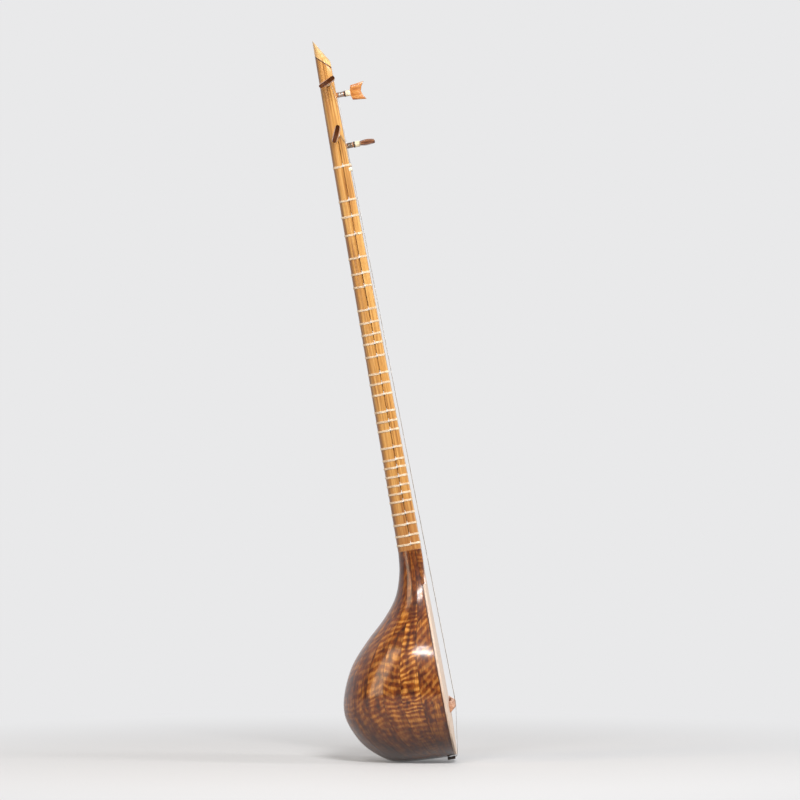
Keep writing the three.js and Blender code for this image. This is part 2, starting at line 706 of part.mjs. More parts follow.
function tailBlockGeometry() {
  const reach = BOWL_WIDTH;
  const low = new THREE.Vector3(-RIM_DEPTH - TAIL_BLOCK_DEPTH, -reach, -reach);
  const high = new THREE.Vector3(OVERRUN, reach, TAIL_BLOCK_HEIGHT);
  const dowelHole = new THREE.CylinderGeometry(
    DOWEL_DIAMETER / 2 + CLEARANCE, DOWEL_DIAMETER / 2 + CLEARANCE, reach, ROUND_SIDES)
    .rotateX(Math.PI / 2)
    .translate(dowelX(), 0, DOWEL_LENGTH + CLEARANCE - reach / 2);
  return toGeometry(room.intersect(toSolid(block(low, high))).subtract(toSolid(dowelHole)));
}

function dowelX() {
  return -RIM_DEPTH - TAIL_OPENING_RADIUS / 2;
}

// The neck block fills the throat and shows in front of the staves, round the arch of the soundboard
function neckBlockGeometry() {
  const reach = BOWL_WIDTH;
  const top = BOWL_LENGTH;
  const low = new THREE.Vector3(-BOWL_DEPTH, -reach, top - NECK_BLOCK_LENGTH);
  const high = new THREE.Vector3(OVERRUN, reach, top);
  const plug = room.intersect(toSolid(block(low, high)));
  const rows = Array.from({ length: STAVE_ROWS + 1 }, (_, row) => {
    const start = runAtRimHeight(top - NECK_BLOCK_LENGTH);
    const rim = rimCurve.getPoint(between(start, 1, row / STAVE_ROWS));
    return [rim.x, rim.y];
  });
  const outline = [...rows, ...rows.map(([width, height]) => [-width, height]).reverse()];
  const slab = toSolid(slabFromOutline(outline, 0, RIM_DEPTH - CLEARANCE));
  const boardRoom = toSolid(slabFromOutline(boardOutline(CLEARANCE), -OVERRUN, RIM_DEPTH));
  return toGeometry(plug.add(slab).subtract(boardRoom).subtract(tenon(CLEARANCE)));
}

addPiece('tail_block', tailBlockGeometry(), BLOCK_WOOD);
addPiece('neck_block', neckBlockGeometry(), WALNUT);

// Nut, with a notch for each string
function nutGeometry() {
  const { halfWidth } = neckSize(NUT_HEIGHT_ON_NECK);
  const side = halfWidth - CLEARANCE;
  const outline = new THREE.Shape();
  outline.moveTo(-side, -NUT_SEAT_DEPTH + CLEARANCE);
  outline.lineTo(side, -NUT_SEAT_DEPTH + CLEARANCE);
  outline.lineTo(side, NUT_HEIGHT / 2);
  outline.lineTo(side - NUT_HEIGHT / 2, NUT_HEIGHT);
  STRINGS_AT_NUT.forEach((y) => {
    outline.lineTo(y + NOTCH_WIDTH / 2, NUT_HEIGHT);
    outline.lineTo(y, NUT_HEIGHT - NOTCH_DEPTH);
    outline.lineTo(y - NOTCH_WIDTH / 2, NUT_HEIGHT);
  });
  outline.lineTo(-side + NUT_HEIGHT / 2, NUT_HEIGHT);
  outline.lineTo(-side, NUT_HEIGHT / 2);
  outline.closePath();
  const ring = (height) => outline.getPoints(1)
    .slice(0, -1)
    .map((point) => new THREE.Vector3(point.y, point.x, height));
  return loft([NUT_HEIGHT_ON_NECK, NUT_HEIGHT_ON_NECK + NUT_THICKNESS].map(ring));
}

addPiece('nut', nutGeometry(), BONE);

// Bridge: two feet, a low arch between them, and shoulders that fall away at the ends
const boardApex = boardFront(0, BRIDGE_HEIGHT_ON_BOARD);

function bridgeTopX(y) {
  const station = y / (BRIDGE_LENGTH / 2);
  const after = Math.max(BRIDGE_STATION_SHARES.findIndex((share) => share >= station), 1);
  const from = BRIDGE_STATION_SHARES[after - 1];
  const share = (station - from) / (BRIDGE_STATION_SHARES[after] - from);
  return boardApex + BRIDGE_HEIGHT * between(BRIDGE_TOP_SHARES[after - 1], BRIDGE_TOP_SHARES[after], share);
}

const bridgeHeightAt = (y) => BRIDGE_HEIGHT_ON_BOARD + y * Math.tan(BRIDGE_TURN);

function bridgeGeometry() {
  const rings = BRIDGE_STATION_SHARES.map((share, station) => {
    const y = (share * BRIDGE_LENGTH) / 2;
    const middle = bridgeHeightAt(y);
    const arch = BRIDGE_ARCH_HEIGHT * BRIDGE_ARCH_SHARES[station];
    const footAt = (z) => boardFront(y, z) + CLEARANCE + arch;
    const topX = bridgeTopX(y);
    const lowFoot = middle - BRIDGE_FOOT_WIDTH / 2;
    const highFoot = middle + BRIDGE_FOOT_WIDTH / 2;
    const shoulderX = between(footAt(middle), topX, BRIDGE_SHOULDER_SHARE);
    return [
      new THREE.Vector3(footAt(lowFoot), y, lowFoot),
      new THREE.Vector3(shoulderX, y, lowFoot),
      new THREE.Vector3(topX - NOTCH_DEPTH, y, middle - BRIDGE_TOP_WIDTH / 2),
      new THREE.Vector3(topX, y, middle),
      new THREE.Vector3(topX - NOTCH_DEPTH / 2, y, middle + BRIDGE_TOP_WIDTH / 2),
      new THREE.Vector3(shoulderX, y, highFoot),
      new THREE.Vector3(footAt(highFoot), y, highFoot),
    ];
  });
  let bridge = toSolid(loft(rings));
  STRINGS_AT_BRIDGE.forEach((y) => {
    const topX = bridgeTopX(y);
    const z = bridgeHeightAt(y);
    const ring = (height) => [
      new THREE.Vector3(topX + NOTCH_DEPTH, y - NOTCH_WIDTH, height),
      new THREE.Vector3(topX + NOTCH_DEPTH, y + NOTCH_WIDTH, height),
      new THREE.Vector3(topX - NOTCH_DEPTH / 2, y, height),
    ];
    const notch = loft([z - BRIDGE_FOOT_WIDTH, z + BRIDGE_FOOT_WIDTH].map(ring));
    bridge = bridge.subtract(toSolid(notch));
  });
  return toGeometry(bridge);
}

addPiece('bridge', bridgeGeometry(), BRIDGE_WOOD);

// String holder under the tail
const holderTop = lowestNearTail() - CLEARANCE;
const holderFrontX = -RIM_DEPTH + HOLDER_PAST_RIM;

function lowestNearTail() {
  let lowest = Infinity;
  for (let row = 0; row <= STAVE_ROWS; row += 1) {
    const spot = bowlSurface(Math.PI / 2, row / STAVE_ROWS);
    if (spot.x > -RIM_DEPTH - HOLDER_DEPTH * 2) lowest = Math.min(lowest, spot.z);
  }
  return lowest;
}

function stringHolderGeometry() {
  const bottom = holderTop - HOLDER_THICKNESS;
  const backX = holderFrontX - HOLDER_DEPTH;
  const low = new THREE.Vector3(backX, -HOLDER_WIDTH / 2, bottom);
  const high = new THREE.Vector3(holderFrontX, HOLDER_WIDTH / 2, holderTop);
  const dowel = new THREE.CylinderGeometry(
    DOWEL_DIAMETER / 2, DOWEL_DIAMETER / 2, DOWEL_LENGTH - holderTop + HOLDER_THICKNESS / 2, ROUND_SIDES)
    .rotateX(Math.PI / 2)
    .translate(dowelX(), 0, (DOWEL_LENGTH + holderTop - HOLDER_THICKNESS / 2) / 2);
  let holder = toSolid(block(low, high)).add(toSolid(dowel));
  STRINGS_AT_TAIL.forEach((y) => {
    const slotLow = new THREE.Vector3(
      holderFrontX - HOLDER_SLOT_LENGTH, y - HOLDER_SLOT_WIDTH / 2, bottom - OVERRUN);
    const slotHigh = new THREE.Vector3(
      holderFrontX + OVERRUN, y + HOLDER_SLOT_WIDTH / 2, holderTop + OVERRUN);
    holder = holder.subtract(toSolid(block(slotLow, slotHigh)));
  });
  return toGeometry(holder);
}

addPiece('string_holder', stringHolderGeometry(), DARK_WOOD);

// Pegs: made along +X from the face of the wood, then turned to their side
function pegGeometry(roll) {
  const radius = PEG_DIAMETER / 2;
  const ringEnd = PEG_SHAFT_LENGTH + PEG_RING_LENGTH;
  const collarEnd = ringEnd + PEG_COLLAR_LENGTH;
  const profile = [
    [0, -PEG_BURIED_LENGTH], [radius, -PEG_BURIED_LENGTH],
    [radius, PEG_SHAFT_LENGTH], [PEG_RING_DIAMETER / 2, PEG_SHAFT_LENGTH],
    [PEG_RING_DIAMETER / 2, ringEnd], [PEG_COLLAR_DIAMETER / 2, ringEnd],
    [PEG_COLLAR_DIAMETER / 2, collarEnd], [radius, collarEnd + PEG_BEVEL], [0, collarEnd + PEG_BEVEL],
  ].map(([x, y]) => new THREE.Vector2(x, y));
  const shaft = toSolid(new THREE.LatheGeometry(profile, ROUND_SIDES));
  const fishtail = toSolid(fishtailGeometry(collarEnd));
  return toGeometry(shaft.add(fishtail)).rotateZ(-Math.PI / 2).rotateX(roll);
}

// The flat head of a peg: it widens at a rounded shoulder and ends in two horns with a hollow between
function fishtailGeometry(start) {
  const stem = PEG_COLLAR_DIAMETER / 2 - PEG_BEVEL / 2;
  const horn = PEG_TAIL_WIDTH / 2;
  const end = start + PEG_TAIL_LENGTH;
  const shoulder = horn * PEG_SHOULDER_WIDTH_SHARE;
  const shoulderEnd = between(start, end, PEG_SHOULDER_LENGTH_SHARE);
  const outline = new THREE.Shape();
  outline.moveTo(-stem, start);
  outline.lineTo(stem, start);
  outline.quadraticCurveTo(shoulder, start, shoulder, shoulderEnd);
  outline.lineTo(horn, end - PEG_BEVEL);
  outline.lineTo(horn - PEG_BEVEL, end);
  outline.quadraticCurveTo(0, end - 2 * PEG_TAIL_DENT, -horn + PEG_BEVEL, end);
  outline.lineTo(-horn, end - PEG_BEVEL);
  outline.lineTo(-shoulder, shoulderEnd);
  outline.quadraticCurveTo(-shoulder, start, -stem, start);
  const points = outline.getPoints(TAIL_CURVE_STEPS).slice(0, -1);
  const layer = (z, inset) => points.map((point) => new THREE.Vector3(
    point.x * (1 - inset / horn),
    point.y - (inset * (point.y - start)) / PEG_TAIL_LENGTH,
    z,
  ));
  const half = PEG_TAIL_THICKNESS / 2;
  return loft([
    layer(-half, PEG_BEVEL), layer(-half + PEG_BEVEL, 0),
    layer(half - PEG_BEVEL, 0), layer(half, PEG_BEVEL),
  ]);
}

const PEG_LEVELS = ['lower', 'upper'];
PEG_LEVELS.forEach((level, index) => {
  const frontHeight = NUT_HEIGHT_ON_NECK + FRONT_PEG_HEIGHTS[index];
  const frontPeg = addPiece(`peg_front_${level}`, pegGeometry(FRONT_PEG_ROLLS[index]), PEG_WOOD);
  frontPeg.position.set(0, 0, frontHeight);
  const sideHeight = NUT_HEIGHT_ON_NECK + SIDE_PEG_HEIGHTS[index];
  const sidePeg = addPiece(`peg_side_${level}`, pegGeometry(SIDE_PEG_ROLLS[index]), PEG_WOOD);
  sidePeg.rotation.z = -Math.PI / 2;
  sidePeg.position.set(sidePegX(sideHeight), -neckSize(sideHeight).halfWidth, sideHeight);
});

// Gut bands: turns round the neck that follow its section, lifted in front where strings pass under
function bandPoints(height, frontLift) {
  const { halfWidth, depth, sideDepth } = neckSize(height);
  const letOut = 1 / Math.cos(Math.PI / (2 * FRET_ARC_STEPS));
  const acrossRadius = (halfWidth + GUT_LIFT) * letOut;
  const backRadius = (depth - sideDepth + GUT_LIFT) * letOut;
  const corners = [[frontLift, -halfWidth - GUT_LIFT], [frontLift, halfWidth + GUT_LIFT]];
  for (let step = 0; step <= FRET_ARC_STEPS; step += 1) {
    const turn = (Math.PI * step) / FRET_ARC_STEPS;
    corners.push([-sideDepth - backRadius * Math.sin(turn), acrossRadius * Math.cos(turn)]);
  }
  const steps = FRET_TURNS * corners.length;
  const start = height - (FRET_TURNS * GUT_PITCH) / 2;
  return Array.from({ length: steps + 1 }, (_, step) => {
    const [x, y] = corners[(step + corners.length - 1) % corners.length];
    return new THREE.Vector3(x, y, start + (GUT_PITCH * step) / corners.length);
  });
}

let leastGap = Infinity;
function addBand(name, height, frontLift) {
  const points = bandPoints(height, frontLift);
  leastGap = Math.min(leastGap, leastTurnGap(points, GUT_DIAMETER, neckSize(height).depth * 2));
  addPiece(name, cord(points, GUT_DIAMETER / 2), GUT);
}

FRET_CENTS.forEach((cents, index) => {
  const height = NUT_HEIGHT_ON_NECK - SCALE_LENGTH * stoppedShare(cents);
  addBand(`fret_${String(index + 1).padStart(2, '0')}`, height, GUT_LIFT);
});
const thickestString = Math.max(...STRING_DIAMETERS);
const tieLift = STRING_LIFT_AT_TIE + thickestString / 2 + GUT_LIFT;
addBand('head_tie', NUT_HEIGHT_ON_NECK + TIE_PAST_NUT, tieLift);

// Strings: from the comb at the tail, over the tail edge, bridge and nut, under the tie, to a peg.
// The two treble strings go to the front pegs and the two bass strings round the edge to the side pegs.
function coilPoints(centre, axis, startRadial, travel, radius) {
  const steps = COIL_TURNS * COIL_STEPS;
  return Array.from({ length: steps + 1 }, (_, step) => {
    const angle = (2 * Math.PI * step) / COIL_STEPS;
    return centre.clone()
      .addScaledVector(axis, COIL_START + (COIL_PITCH * step) / COIL_STEPS)
      .addScaledVector(startRadial, radius * Math.cos(angle))
      .addScaledVector(travel, radius * Math.sin(angle));
  });
}

function stringPoints(index) {
  const diameter = STRING_DIAMETERS[index];
  const lift = CLEARANCE + diameter / 2;
  const tailY = STRINGS_AT_TAIL[index];
  const bridgeY = STRINGS_AT_BRIDGE[index];
  const nutY = STRINGS_AT_NUT[index];
  const bridgeX = bridgeTopX(bridgeY) - NOTCH_DEPTH / 2 + lift;
  const nutX = NUT_HEIGHT - NOTCH_DEPTH + lift;
  const nutZ = NUT_HEIGHT_ON_NECK + NUT_THICKNESS / 2;
  const tieZ = NUT_HEIGHT_ON_NECK + TIE_PAST_NUT;
  const slotX = holderFrontX - HOLDER_SLOT_LENGTH / 2;
  const edgeX = -BOARD_EDGE_DEPTH + STRING_LIFT_AT_TAIL;
  const points = [
    new THREE.Vector3(slotX, tailY, holderTop - HOLDER_THICKNESS / 2),
    new THREE.Vector3(edgeX - STRING_LIFT_AT_TAIL, tailY, holderTop),
    new THREE.Vector3(edgeX, tailY, STRING_LIFT_AT_TAIL),
    new THREE.Vector3(bridgeX, bridgeY, bridgeHeightAt(bridgeY)),
    new THREE.Vector3(nutX, nutY, nutZ),
    new THREE.Vector3(STRING_LIFT_AT_TIE, nutY, tieZ),
  ];
  const peg = STRING_PEGS[index];
  const heights = peg.side ? SIDE_PEG_HEIGHTS : FRONT_PEG_HEIGHTS;
  const pegZ = NUT_HEIGHT_ON_NECK + heights[peg.level];
  const radius = (PEG_DIAMETER / 2 + lift) / Math.cos(Math.PI / COIL_STEPS);
  const up = new THREE.Vector3(0, 0, 1);
  const forward = new THREE.Vector3(1, 0, 0);
  const treble = new THREE.Vector3(0, 1, 0);
  if (peg.side) {
    const edgeZ = between(tieZ, pegZ, EDGE_BEND_SHARE);
    points.push(new THREE.Vector3(lift + NECK_EDGE_CHAMFER / 2, -neckSize(edgeZ).halfWidth - lift, edgeZ));
    const centre = new THREE.Vector3(sidePegX(pegZ), -neckSize(pegZ).halfWidth, pegZ);
    points.push(...coilPoints(centre, treble.clone().negate(), forward, up, radius));
  } else {
    const centre = new THREE.Vector3(0, 0, pegZ);
    points.push(...coilPoints(centre, forward, treble, up, radius));
  }
  return points;
}

STRING_DIAMETERS.forEach((diameter, index) => {
  const points = stringPoints(index);
  const coil = points.slice(-COIL_TURNS * COIL_STEPS - 1);
  leastGap = Math.min(leastGap, leastTurnGap(coil, diameter, PEG_DIAMETER * Math.PI));
  addPiece(`string_${index + 1}`, cord(points, diameter / 2), index % 2 ? BRASS : STEEL);
});
console.log(`least gap between turns of gut or wire: ${leastGap.toFixed(2)} mm`);

// The whole instrument leans back until it stands on its lowest point, which is the origin
function restPoint() {
  const lean = new THREE.Matrix4().makeRotationY(-LEAN_ANGLE);
  let lowest = new THREE.Vector3(0, 0, Infinity);
  for (let row = 0; row <= STAVE_ROWS; row += 1) {
    const spot = bowlSurface(Math.PI / 2, row / STAVE_ROWS).applyMatrix4(lean);
    if (spot.z < lowest.z) lowest = spot;
  }
  return lowest;
}

instrument.rotation.y = -LEAN_ANGLE;
instrument.position.copy(restPoint().negate());

const setar = new THREE.Group();
setar.add(instrument);
export default setar;
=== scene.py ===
"""Setar: a long-necked lute with a ribbed bowl, leaning back on its tail.

Every piece is modelled upright in millimetres, in the instrument's own frame: the neck runs along
+Z from the tail of the bowl, the front faces +X and the bass side faces -Y. `Placement` then leans
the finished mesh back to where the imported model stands, in metres.
"""
import json
import logging
import math
from collections.abc import Callable, Iterator, Sequence
from contextlib import contextmanager
from dataclasses import dataclass, field
from enum import Enum

import bpy
from mathutils import Matrix, Vector


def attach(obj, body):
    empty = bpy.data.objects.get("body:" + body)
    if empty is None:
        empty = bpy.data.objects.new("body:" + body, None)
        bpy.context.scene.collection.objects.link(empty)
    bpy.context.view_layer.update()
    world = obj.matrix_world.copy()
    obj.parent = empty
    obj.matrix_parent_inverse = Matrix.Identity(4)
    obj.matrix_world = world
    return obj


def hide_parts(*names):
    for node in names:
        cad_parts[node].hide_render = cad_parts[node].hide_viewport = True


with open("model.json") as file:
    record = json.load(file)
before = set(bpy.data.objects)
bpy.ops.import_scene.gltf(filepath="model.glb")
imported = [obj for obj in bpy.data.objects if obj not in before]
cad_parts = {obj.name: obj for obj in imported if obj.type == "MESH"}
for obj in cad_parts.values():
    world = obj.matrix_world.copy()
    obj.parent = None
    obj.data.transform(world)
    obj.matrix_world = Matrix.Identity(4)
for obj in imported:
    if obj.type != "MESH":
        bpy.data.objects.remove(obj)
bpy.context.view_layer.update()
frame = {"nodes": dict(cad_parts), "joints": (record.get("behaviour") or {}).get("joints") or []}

LOG = logging.getLogger("setar")

MM = 0.001
# Points nearer to each other than this, in millimetres, are one
SEAM = 0.002
# Faces that meet at more than these angles make an edge that stays sharp, or that a bevel rounds
SMOOTH_ANGLE = math.radians(38)
BEVEL_ANGLE = math.radians(40)

FORWARD = Vector((1, 0, 0))
BASSWARD = Vector((0, -1, 0))
UP = Vector((0, 0, 1))

Piece = bpy.types.Object
Tree = bpy.types.NodeTree
Socket = bpy.types.NodeSocket
Value = Socket | float | str | Sequence[float]
Sockets = dict[int | str, Value] | Sequence[Value]
Place = Callable[[float, float], Vector]
Grain = Callable[[Vector], Vector]
Pair = tuple[float, float]


# Small sums


def between(low: float, high: float, share: float) -> float:
    """Returns the value a share of the way from low to high."""
    return low + (high - low) * share


def clamp(value: float, low: float = 0.0, high: float = 1.0) -> float:
    """Returns the value held between two limits."""
    return min(max(value, low), high)


def smoothstep(value: float, low: float, high: float) -> float:
    """Returns 0 below low and 1 above high, with a smooth rise between."""
    share = clamp((value - low) / (high - low))
    return share * share * (3.0 - 2.0 * share)


def signed_power(value: float, power: float) -> float:
    """Returns the power of a number's size, with the number's sign."""
    return math.copysign(abs(value) ** power, value)


def crosswise(spot: Vector) -> Vector:
    """Returns where a point lies in wood or bone whose grain runs across the instrument."""
    return Vector((spot.x, spot.z, spot.y))


def spline_point(points: Sequence[Pair], share: float) -> Pair:
    """Finds a point on a smooth curve through points.

    Args:
        points: The points that the curve goes through.
        share: How far along the curve, from 0 to 1, each span counting the same.

    Returns:
        The point's two coordinates.
    """
    last = len(points) - 1
    spot = last * clamp(share)
    start = min(int(spot), last - 1)
    step = spot - start
    before, after = max(start - 1, 0), min(start + 2, last)
    found = []
    for axis in (0, 1):
        p0, p1, p2, p3 = (points[i][axis] for i in (before, start, start + 1, after))
        v0, v1 = (p2 - p0) / 2, (p3 - p1) / 2
        cubic = (2 * p1 - 2 * p2 + v0 + v1) * step**3
        found.append(cubic + (3 * p2 - 3 * p1 - 2 * v0 - v1) * step**2 + v0 * step + p1)
    return found[0], found[1]


# Modelling


def clear_selection() -> None:
    """Deselects everything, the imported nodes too."""
    bpy.ops.object.select_all(action="DESELECT")


def choose(*pieces: Piece) -> None:
    """Selects some pieces and makes the first one active.

    Args:
        pieces: The pieces.
    """
    clear_selection()
    for piece in pieces:
        piece.select_set(True)
    bpy.context.view_layer.objects.active = pieces[0]


@contextmanager
def editing(piece: Piece) -> Iterator[None]:
    """Opens a piece in edit mode with all of it selected, and closes it again.

    Args:
        piece: The piece.

    Returns:
        The context in which the piece is open.
    """
    choose(piece)
    bpy.ops.object.mode_set(mode="EDIT")
    bpy.ops.mesh.select_all(action="SELECT")
    yield
    bpy.ops.object.mode_set(mode="OBJECT")


def named(piece: Piece, name: str) -> Piece:
    """Names a piece and its mesh and returns the piece."""
    piece.name = piece.data.name = name
    return piece


def started(name: str, primitive: Callable[..., set[str]], **settings: object) -> Piece:
    """Adds a primitive to start a piece from, with nothing else selected.

    Args:
        name: The piece's name.
        primitive: The operator that adds it.
        settings: The operator's settings.

    Returns:
        The new piece.
    """
    clear_selection()
    primitive(**settings)
    return named(bpy.context.object, name)


def fix_place(piece: Piece) -> Piece:
    """Moves a primitive's place, turn and size into its mesh.

    Args:
        piece: The primitive.

    Returns:
        The same piece.
    """
    choose(piece)
    bpy.ops.object.transform_apply(location=True, rotation=True, scale=True)
    return piece


def close_mesh(piece: Piece) -> None:
    """Merges doubled points, fills open ends and turns the faces outwards.

    Args:
        piece: The piece.
    """
    with editing(piece):
        bpy.ops.mesh.remove_doubles(threshold=SEAM)
        bpy.ops.mesh.fill_holes(sides=0)
        bpy.ops.mesh.normals_make_consistent(inside=False)


def sheet(name: str, across: int, along: int, place: Place) -> Piece:
    """Adds a grid and lays it on a curved surface.

    Args:
        name: The piece's name.
        across: Faces across the grid.
        along: Faces along the grid.
        place: Gives the point for a share across and a share along.

    Returns:
        The new piece.
    """
    grid = bpy.ops.mesh.primitive_grid_add
    piece = started(name, grid, x_subdivisions=across, y_subdivisions=along, size=1.0)
    for vertex in piece.data.vertices:
        vertex.co = place(clamp(vertex.co.x + 0.5), clamp(vertex.co.y + 0.5))
    return piece


def skin(name: str, rings: Sequence[Sequence[Vector]]) -> Piece:
    """Lays a closed skin over rings of points.

    Args:
        name: The piece's name.
        rings: Rings of equally many points. Where the first is the last, the skin closes on itself.

    Returns:
        The new piece.
    """
    count, spans = len(rings[0]), len(rings) - 1
    piece = sheet(
        name, count, spans,
        lambda across, along: rings[round(along * spans)][round(across * count) % count])
    close_mesh(piece)
    return piece


def prism(name: str, outline: Sequence[Vector], depth: Vector) -> Piece:
    """Fills an outline and extrudes it.

    Args:
        name: The piece's name.
        outline: The corners of the outline, in order.
        depth: How far and which way it is extruded.

    Returns:
        The new piece.
    """
    count = len(outline)
    piece = started(name, bpy.ops.mesh.primitive_circle_add, vertices=count, radius=1.0, fill_type="NGON")
    for vertex in piece.data.vertices:
        # The circle's first corner lies on +Y
        turn = math.atan2(vertex.co.y, vertex.co.x) - math.pi / 2
        vertex.co = outline[round(turn / math.tau * count) % count]
    with editing(piece):
        bpy.ops.mesh.extrude_region_move(TRANSFORM_OT_translate={"value": depth})
        bpy.ops.mesh.select_all(action="SELECT")
        bpy.ops.mesh.normals_make_consistent(inside=False)
    return piece


def rod(name: str, radius: float, start: Vector, end: Vector, sides: int) -> Piece:
    """Adds a round rod between two points.

    Args:
        name: The piece's name.
        radius: The rod's radius.
        start: The middle of one end.
        end: The middle of the other end.
        sides: Faces round the rod.

    Returns:
        The new piece.
    """
    along = end - start
    turn = along.to_track_quat("Z", "Y").to_euler()
    return fix_place(started(
        name, bpy.ops.mesh.primitive_cylinder_add, vertices=sides, radius=radius, depth=along.length,
        location=(start + end) / 2, rotation=turn))


def slab(name: str, low: Vector, high: Vector) -> Piece:
    """Adds a block between its lowest and its highest corner and returns it."""
    cube = bpy.ops.mesh.primitive_cube_add
    return fix_place(started(name, cube, size=1.0, location=(low + high) / 2, scale=high - low))


def cord(name: str, points: Sequence[Vector], radius: float) -> Piece:
    """Draws a smooth round cord along points.

    Args:
        name: The piece's name.
        points: The points along the middle of the cord.
        radius: The cord's radius.

    Returns:
        The new piece, as a mesh.
    """
    piece = started(name, bpy.ops.curve.primitive_nurbs_path_add)
    path = piece.data
    path.splines.clear()
    spline = path.splines.new("POLY")
    spline.points.add(len(points) - 1)
    for spot, point in zip(spline.points, points):
        spot.co = (*point, 1.0)
    path.bevel_depth = radius
    # Six sides, which smooth shading rounds: the thickest cord is under a pixel wide
    path.bevel_resolution = 1
    path.use_fill_caps = True
    choose(piece)
    bpy.ops.object.convert(target="MESH")
    made = named(bpy.context.object, name)
    close_mesh(made)
    return made


def modify(piece: Piece, kind: str, **settings: object) -> Piece:
    """Adds one modifier to a piece, sets it and applies it.

    Args:
        piece: The piece.
        kind: The modifier's type.
        settings: The modifier's settings.

    Returns:
        The same piece.
    """
    choose(piece)
    modifier = piece.modifiers.new(kind.title(), kind)
    for key, value in settings.items():
        setattr(modifier, key, value)
    bpy.ops.object.modifier_apply(modifier=modifier.name)
    return piece


def round_edges(piece: Piece, width: float, segments: int = 2) -> Piece:
    """Rounds every sharp edge of a piece and returns it."""
    settings = {"width": width, "segments": segments, "limit_method": "ANGLE", "angle_limit": BEVEL_ANGLE}
    return modify(piece, "BEVEL", **settings)


def thicken(piece: Piece, wall: float) -> Piece:
    """Gives a sheet a wall behind its face and returns it."""
    return modify(piece, "SOLIDIFY", thickness=wall, offset=-1.0)


def cut(piece: Piece, *cutters: Piece) -> Piece:
    """Cuts solids out of a piece and removes the solids.

    Args:
        piece: The piece to cut.
        cutters: The solids.

    Returns:
        The same piece.
    """
    for cutter in cutters:
        modify(piece, "BOOLEAN", object=cutter, operation="DIFFERENCE", solver="EXACT")
        bpy.data.objects.remove(cutter)
    return piece


def slice_off(piece: Piece, spot: Vector, away: Vector) -> Piece:
    """Cuts a piece with a plane and fills the cut.

    Args:
        piece: The piece to cut.
        spot: A point on the plane.
        away: The side of the plane that goes.

    Returns:
        The same piece.
    """
    with editing(piece):
        bpy.ops.mesh.bisect(plane_co=spot, plane_no=away.normalized(), use_fill=True, clear_outer=True)
    return piece


def joined(name: str, *parts: Piece) -> Piece:
    """Joins parts into one piece.

    Args:
        name: The piece's name.
        parts: The parts.

    Returns:
        The piece.
    """
    choose(*parts)
    bpy.ops.object.join()
    return named(bpy.context.object, name)


def copied(piece: Piece, name: str, move: Matrix | None = None) -> Piece:
    """Copies a piece with its own mesh.

    Args:
        piece: The piece to copy.
        name: The copy's name.
        move: Moves the copy's mesh, if it is given.

    Returns:
        The copy.
    """
    choose(piece)
    bpy.ops.object.duplicate(linked=False)
    made = named(bpy.context.object, name)
    if move is not None:
        made.data.transform(move)
    return made


def smooth(piece: Piece) -> None:
    """Shades a piece smooth, but for its sharp edges."""
    choose(piece)
    bpy.ops.object.shade_smooth_by_angle(angle=SMOOTH_ANGLE)


# Colours and nodes

# The setting of a Map Range node that eases in and out
EASED = {"interpolation_type": "SMOOTHSTEP"}


def colour(code: str) -> tuple[float, float, float, float]:
    """Turns an sRGB hex colour to linear light.

    Args:
        code: The colour, such as "c98a48".

    Returns:
        Its red, green, blue and alpha.
    """
    parts = [int(code[i : i + 2], 16) / 255 for i in (0, 2, 4)]
    linear = [p / 12.92 if p <= 0.04045 else ((p + 0.055) / 1.055) ** 2.4 for p in parts]
    return (*linear, 1.0)


def plug(tree: Tree, node: bpy.types.Node, sockets: Sockets) -> None:
    """Fills a node's sockets.

    Args:
        tree: The tree that the node is in.
        node: The node.
        sockets: Numbers, hex colours or outputs to link, by the socket's name or number or in order.
    """
    pairs = sockets.items() if isinstance(sockets, dict) else enumerate(sockets)
    for key, value in pairs:
        if isinstance(value, Socket):
            tree.links.new(value, node.inputs[key])
        else:
            node.inputs[key].default_value = colour(value) if isinstance(value, str) else value


def add_node(
    tree: Tree, kind: str, sockets: Sockets = (), output: int | str = 0, **settings: object
) -> Socket:
    """Adds a shader node with its settings and links.

    Args:
        tree: The tree it goes in.
        kind: The node's type, without the word ShaderNode.
        sockets: What goes in its sockets, as `plug` takes it.
        output: The name or number of the output that is wanted.
        settings: The node's own settings. "stops" fills a colour ramp with (place, hex colour).

    Returns:
        The wanted output.
    """
    node = tree.nodes.new(f"ShaderNode{kind}")
    stops = settings.pop("stops", ())
    for key, value in settings.items():
        setattr(node, key, value)
    if stops:
        ramp = node.color_ramp.elements
        while len(ramp) < len(stops):
            ramp.new(1.0)
        for element, (place, code) in zip(ramp, stops):
            element.position = place
            element.color = colour(code)
    plug(tree, node, sockets)
    return node.outputs[output]


def speckled(tree: Tree, where: Socket, sizes: Sequence[float], detail: float = 3.0) -> Socket:
    """Adds a cloudy pattern whose specks have a real size.

    Args:
        tree: The tree it goes in.
        where: Coordinates in millimetres.
        sizes: The size of a speck along x, y and z, in millimetres.
        detail: How many finer layers it has.

    Returns:
        The pattern, from 0 to 1.
    """
    scaled = add_node(tree, "Mapping", {"Vector": where, "Scale": [1 / size for size in sizes]})
    return add_node(tree, "TexNoise", {"Vector": scaled, "Scale": 1.0, "Detail": detail}, "Fac")


def overlaid(tree: Tree, ground: Socket | str, layers: Sequence[tuple[Socket, Socket | str]]) -> Socket:
    """Lays colours over a ground, one after the other.

    Args:
        tree: The tree they go in.
        ground: The colour that they cover.
        layers: The share that each one covers, and its colour.

    Returns:
        The colour that shows.
    """
    for share, tint in layers:
        # The numbers are those of the node's sockets for colours, which share their names with others
        ground = add_node(tree, "Mix", {0: share, 6: ground, 7: tint}, 2, data_type="RGBA")
    return ground


# Finishes


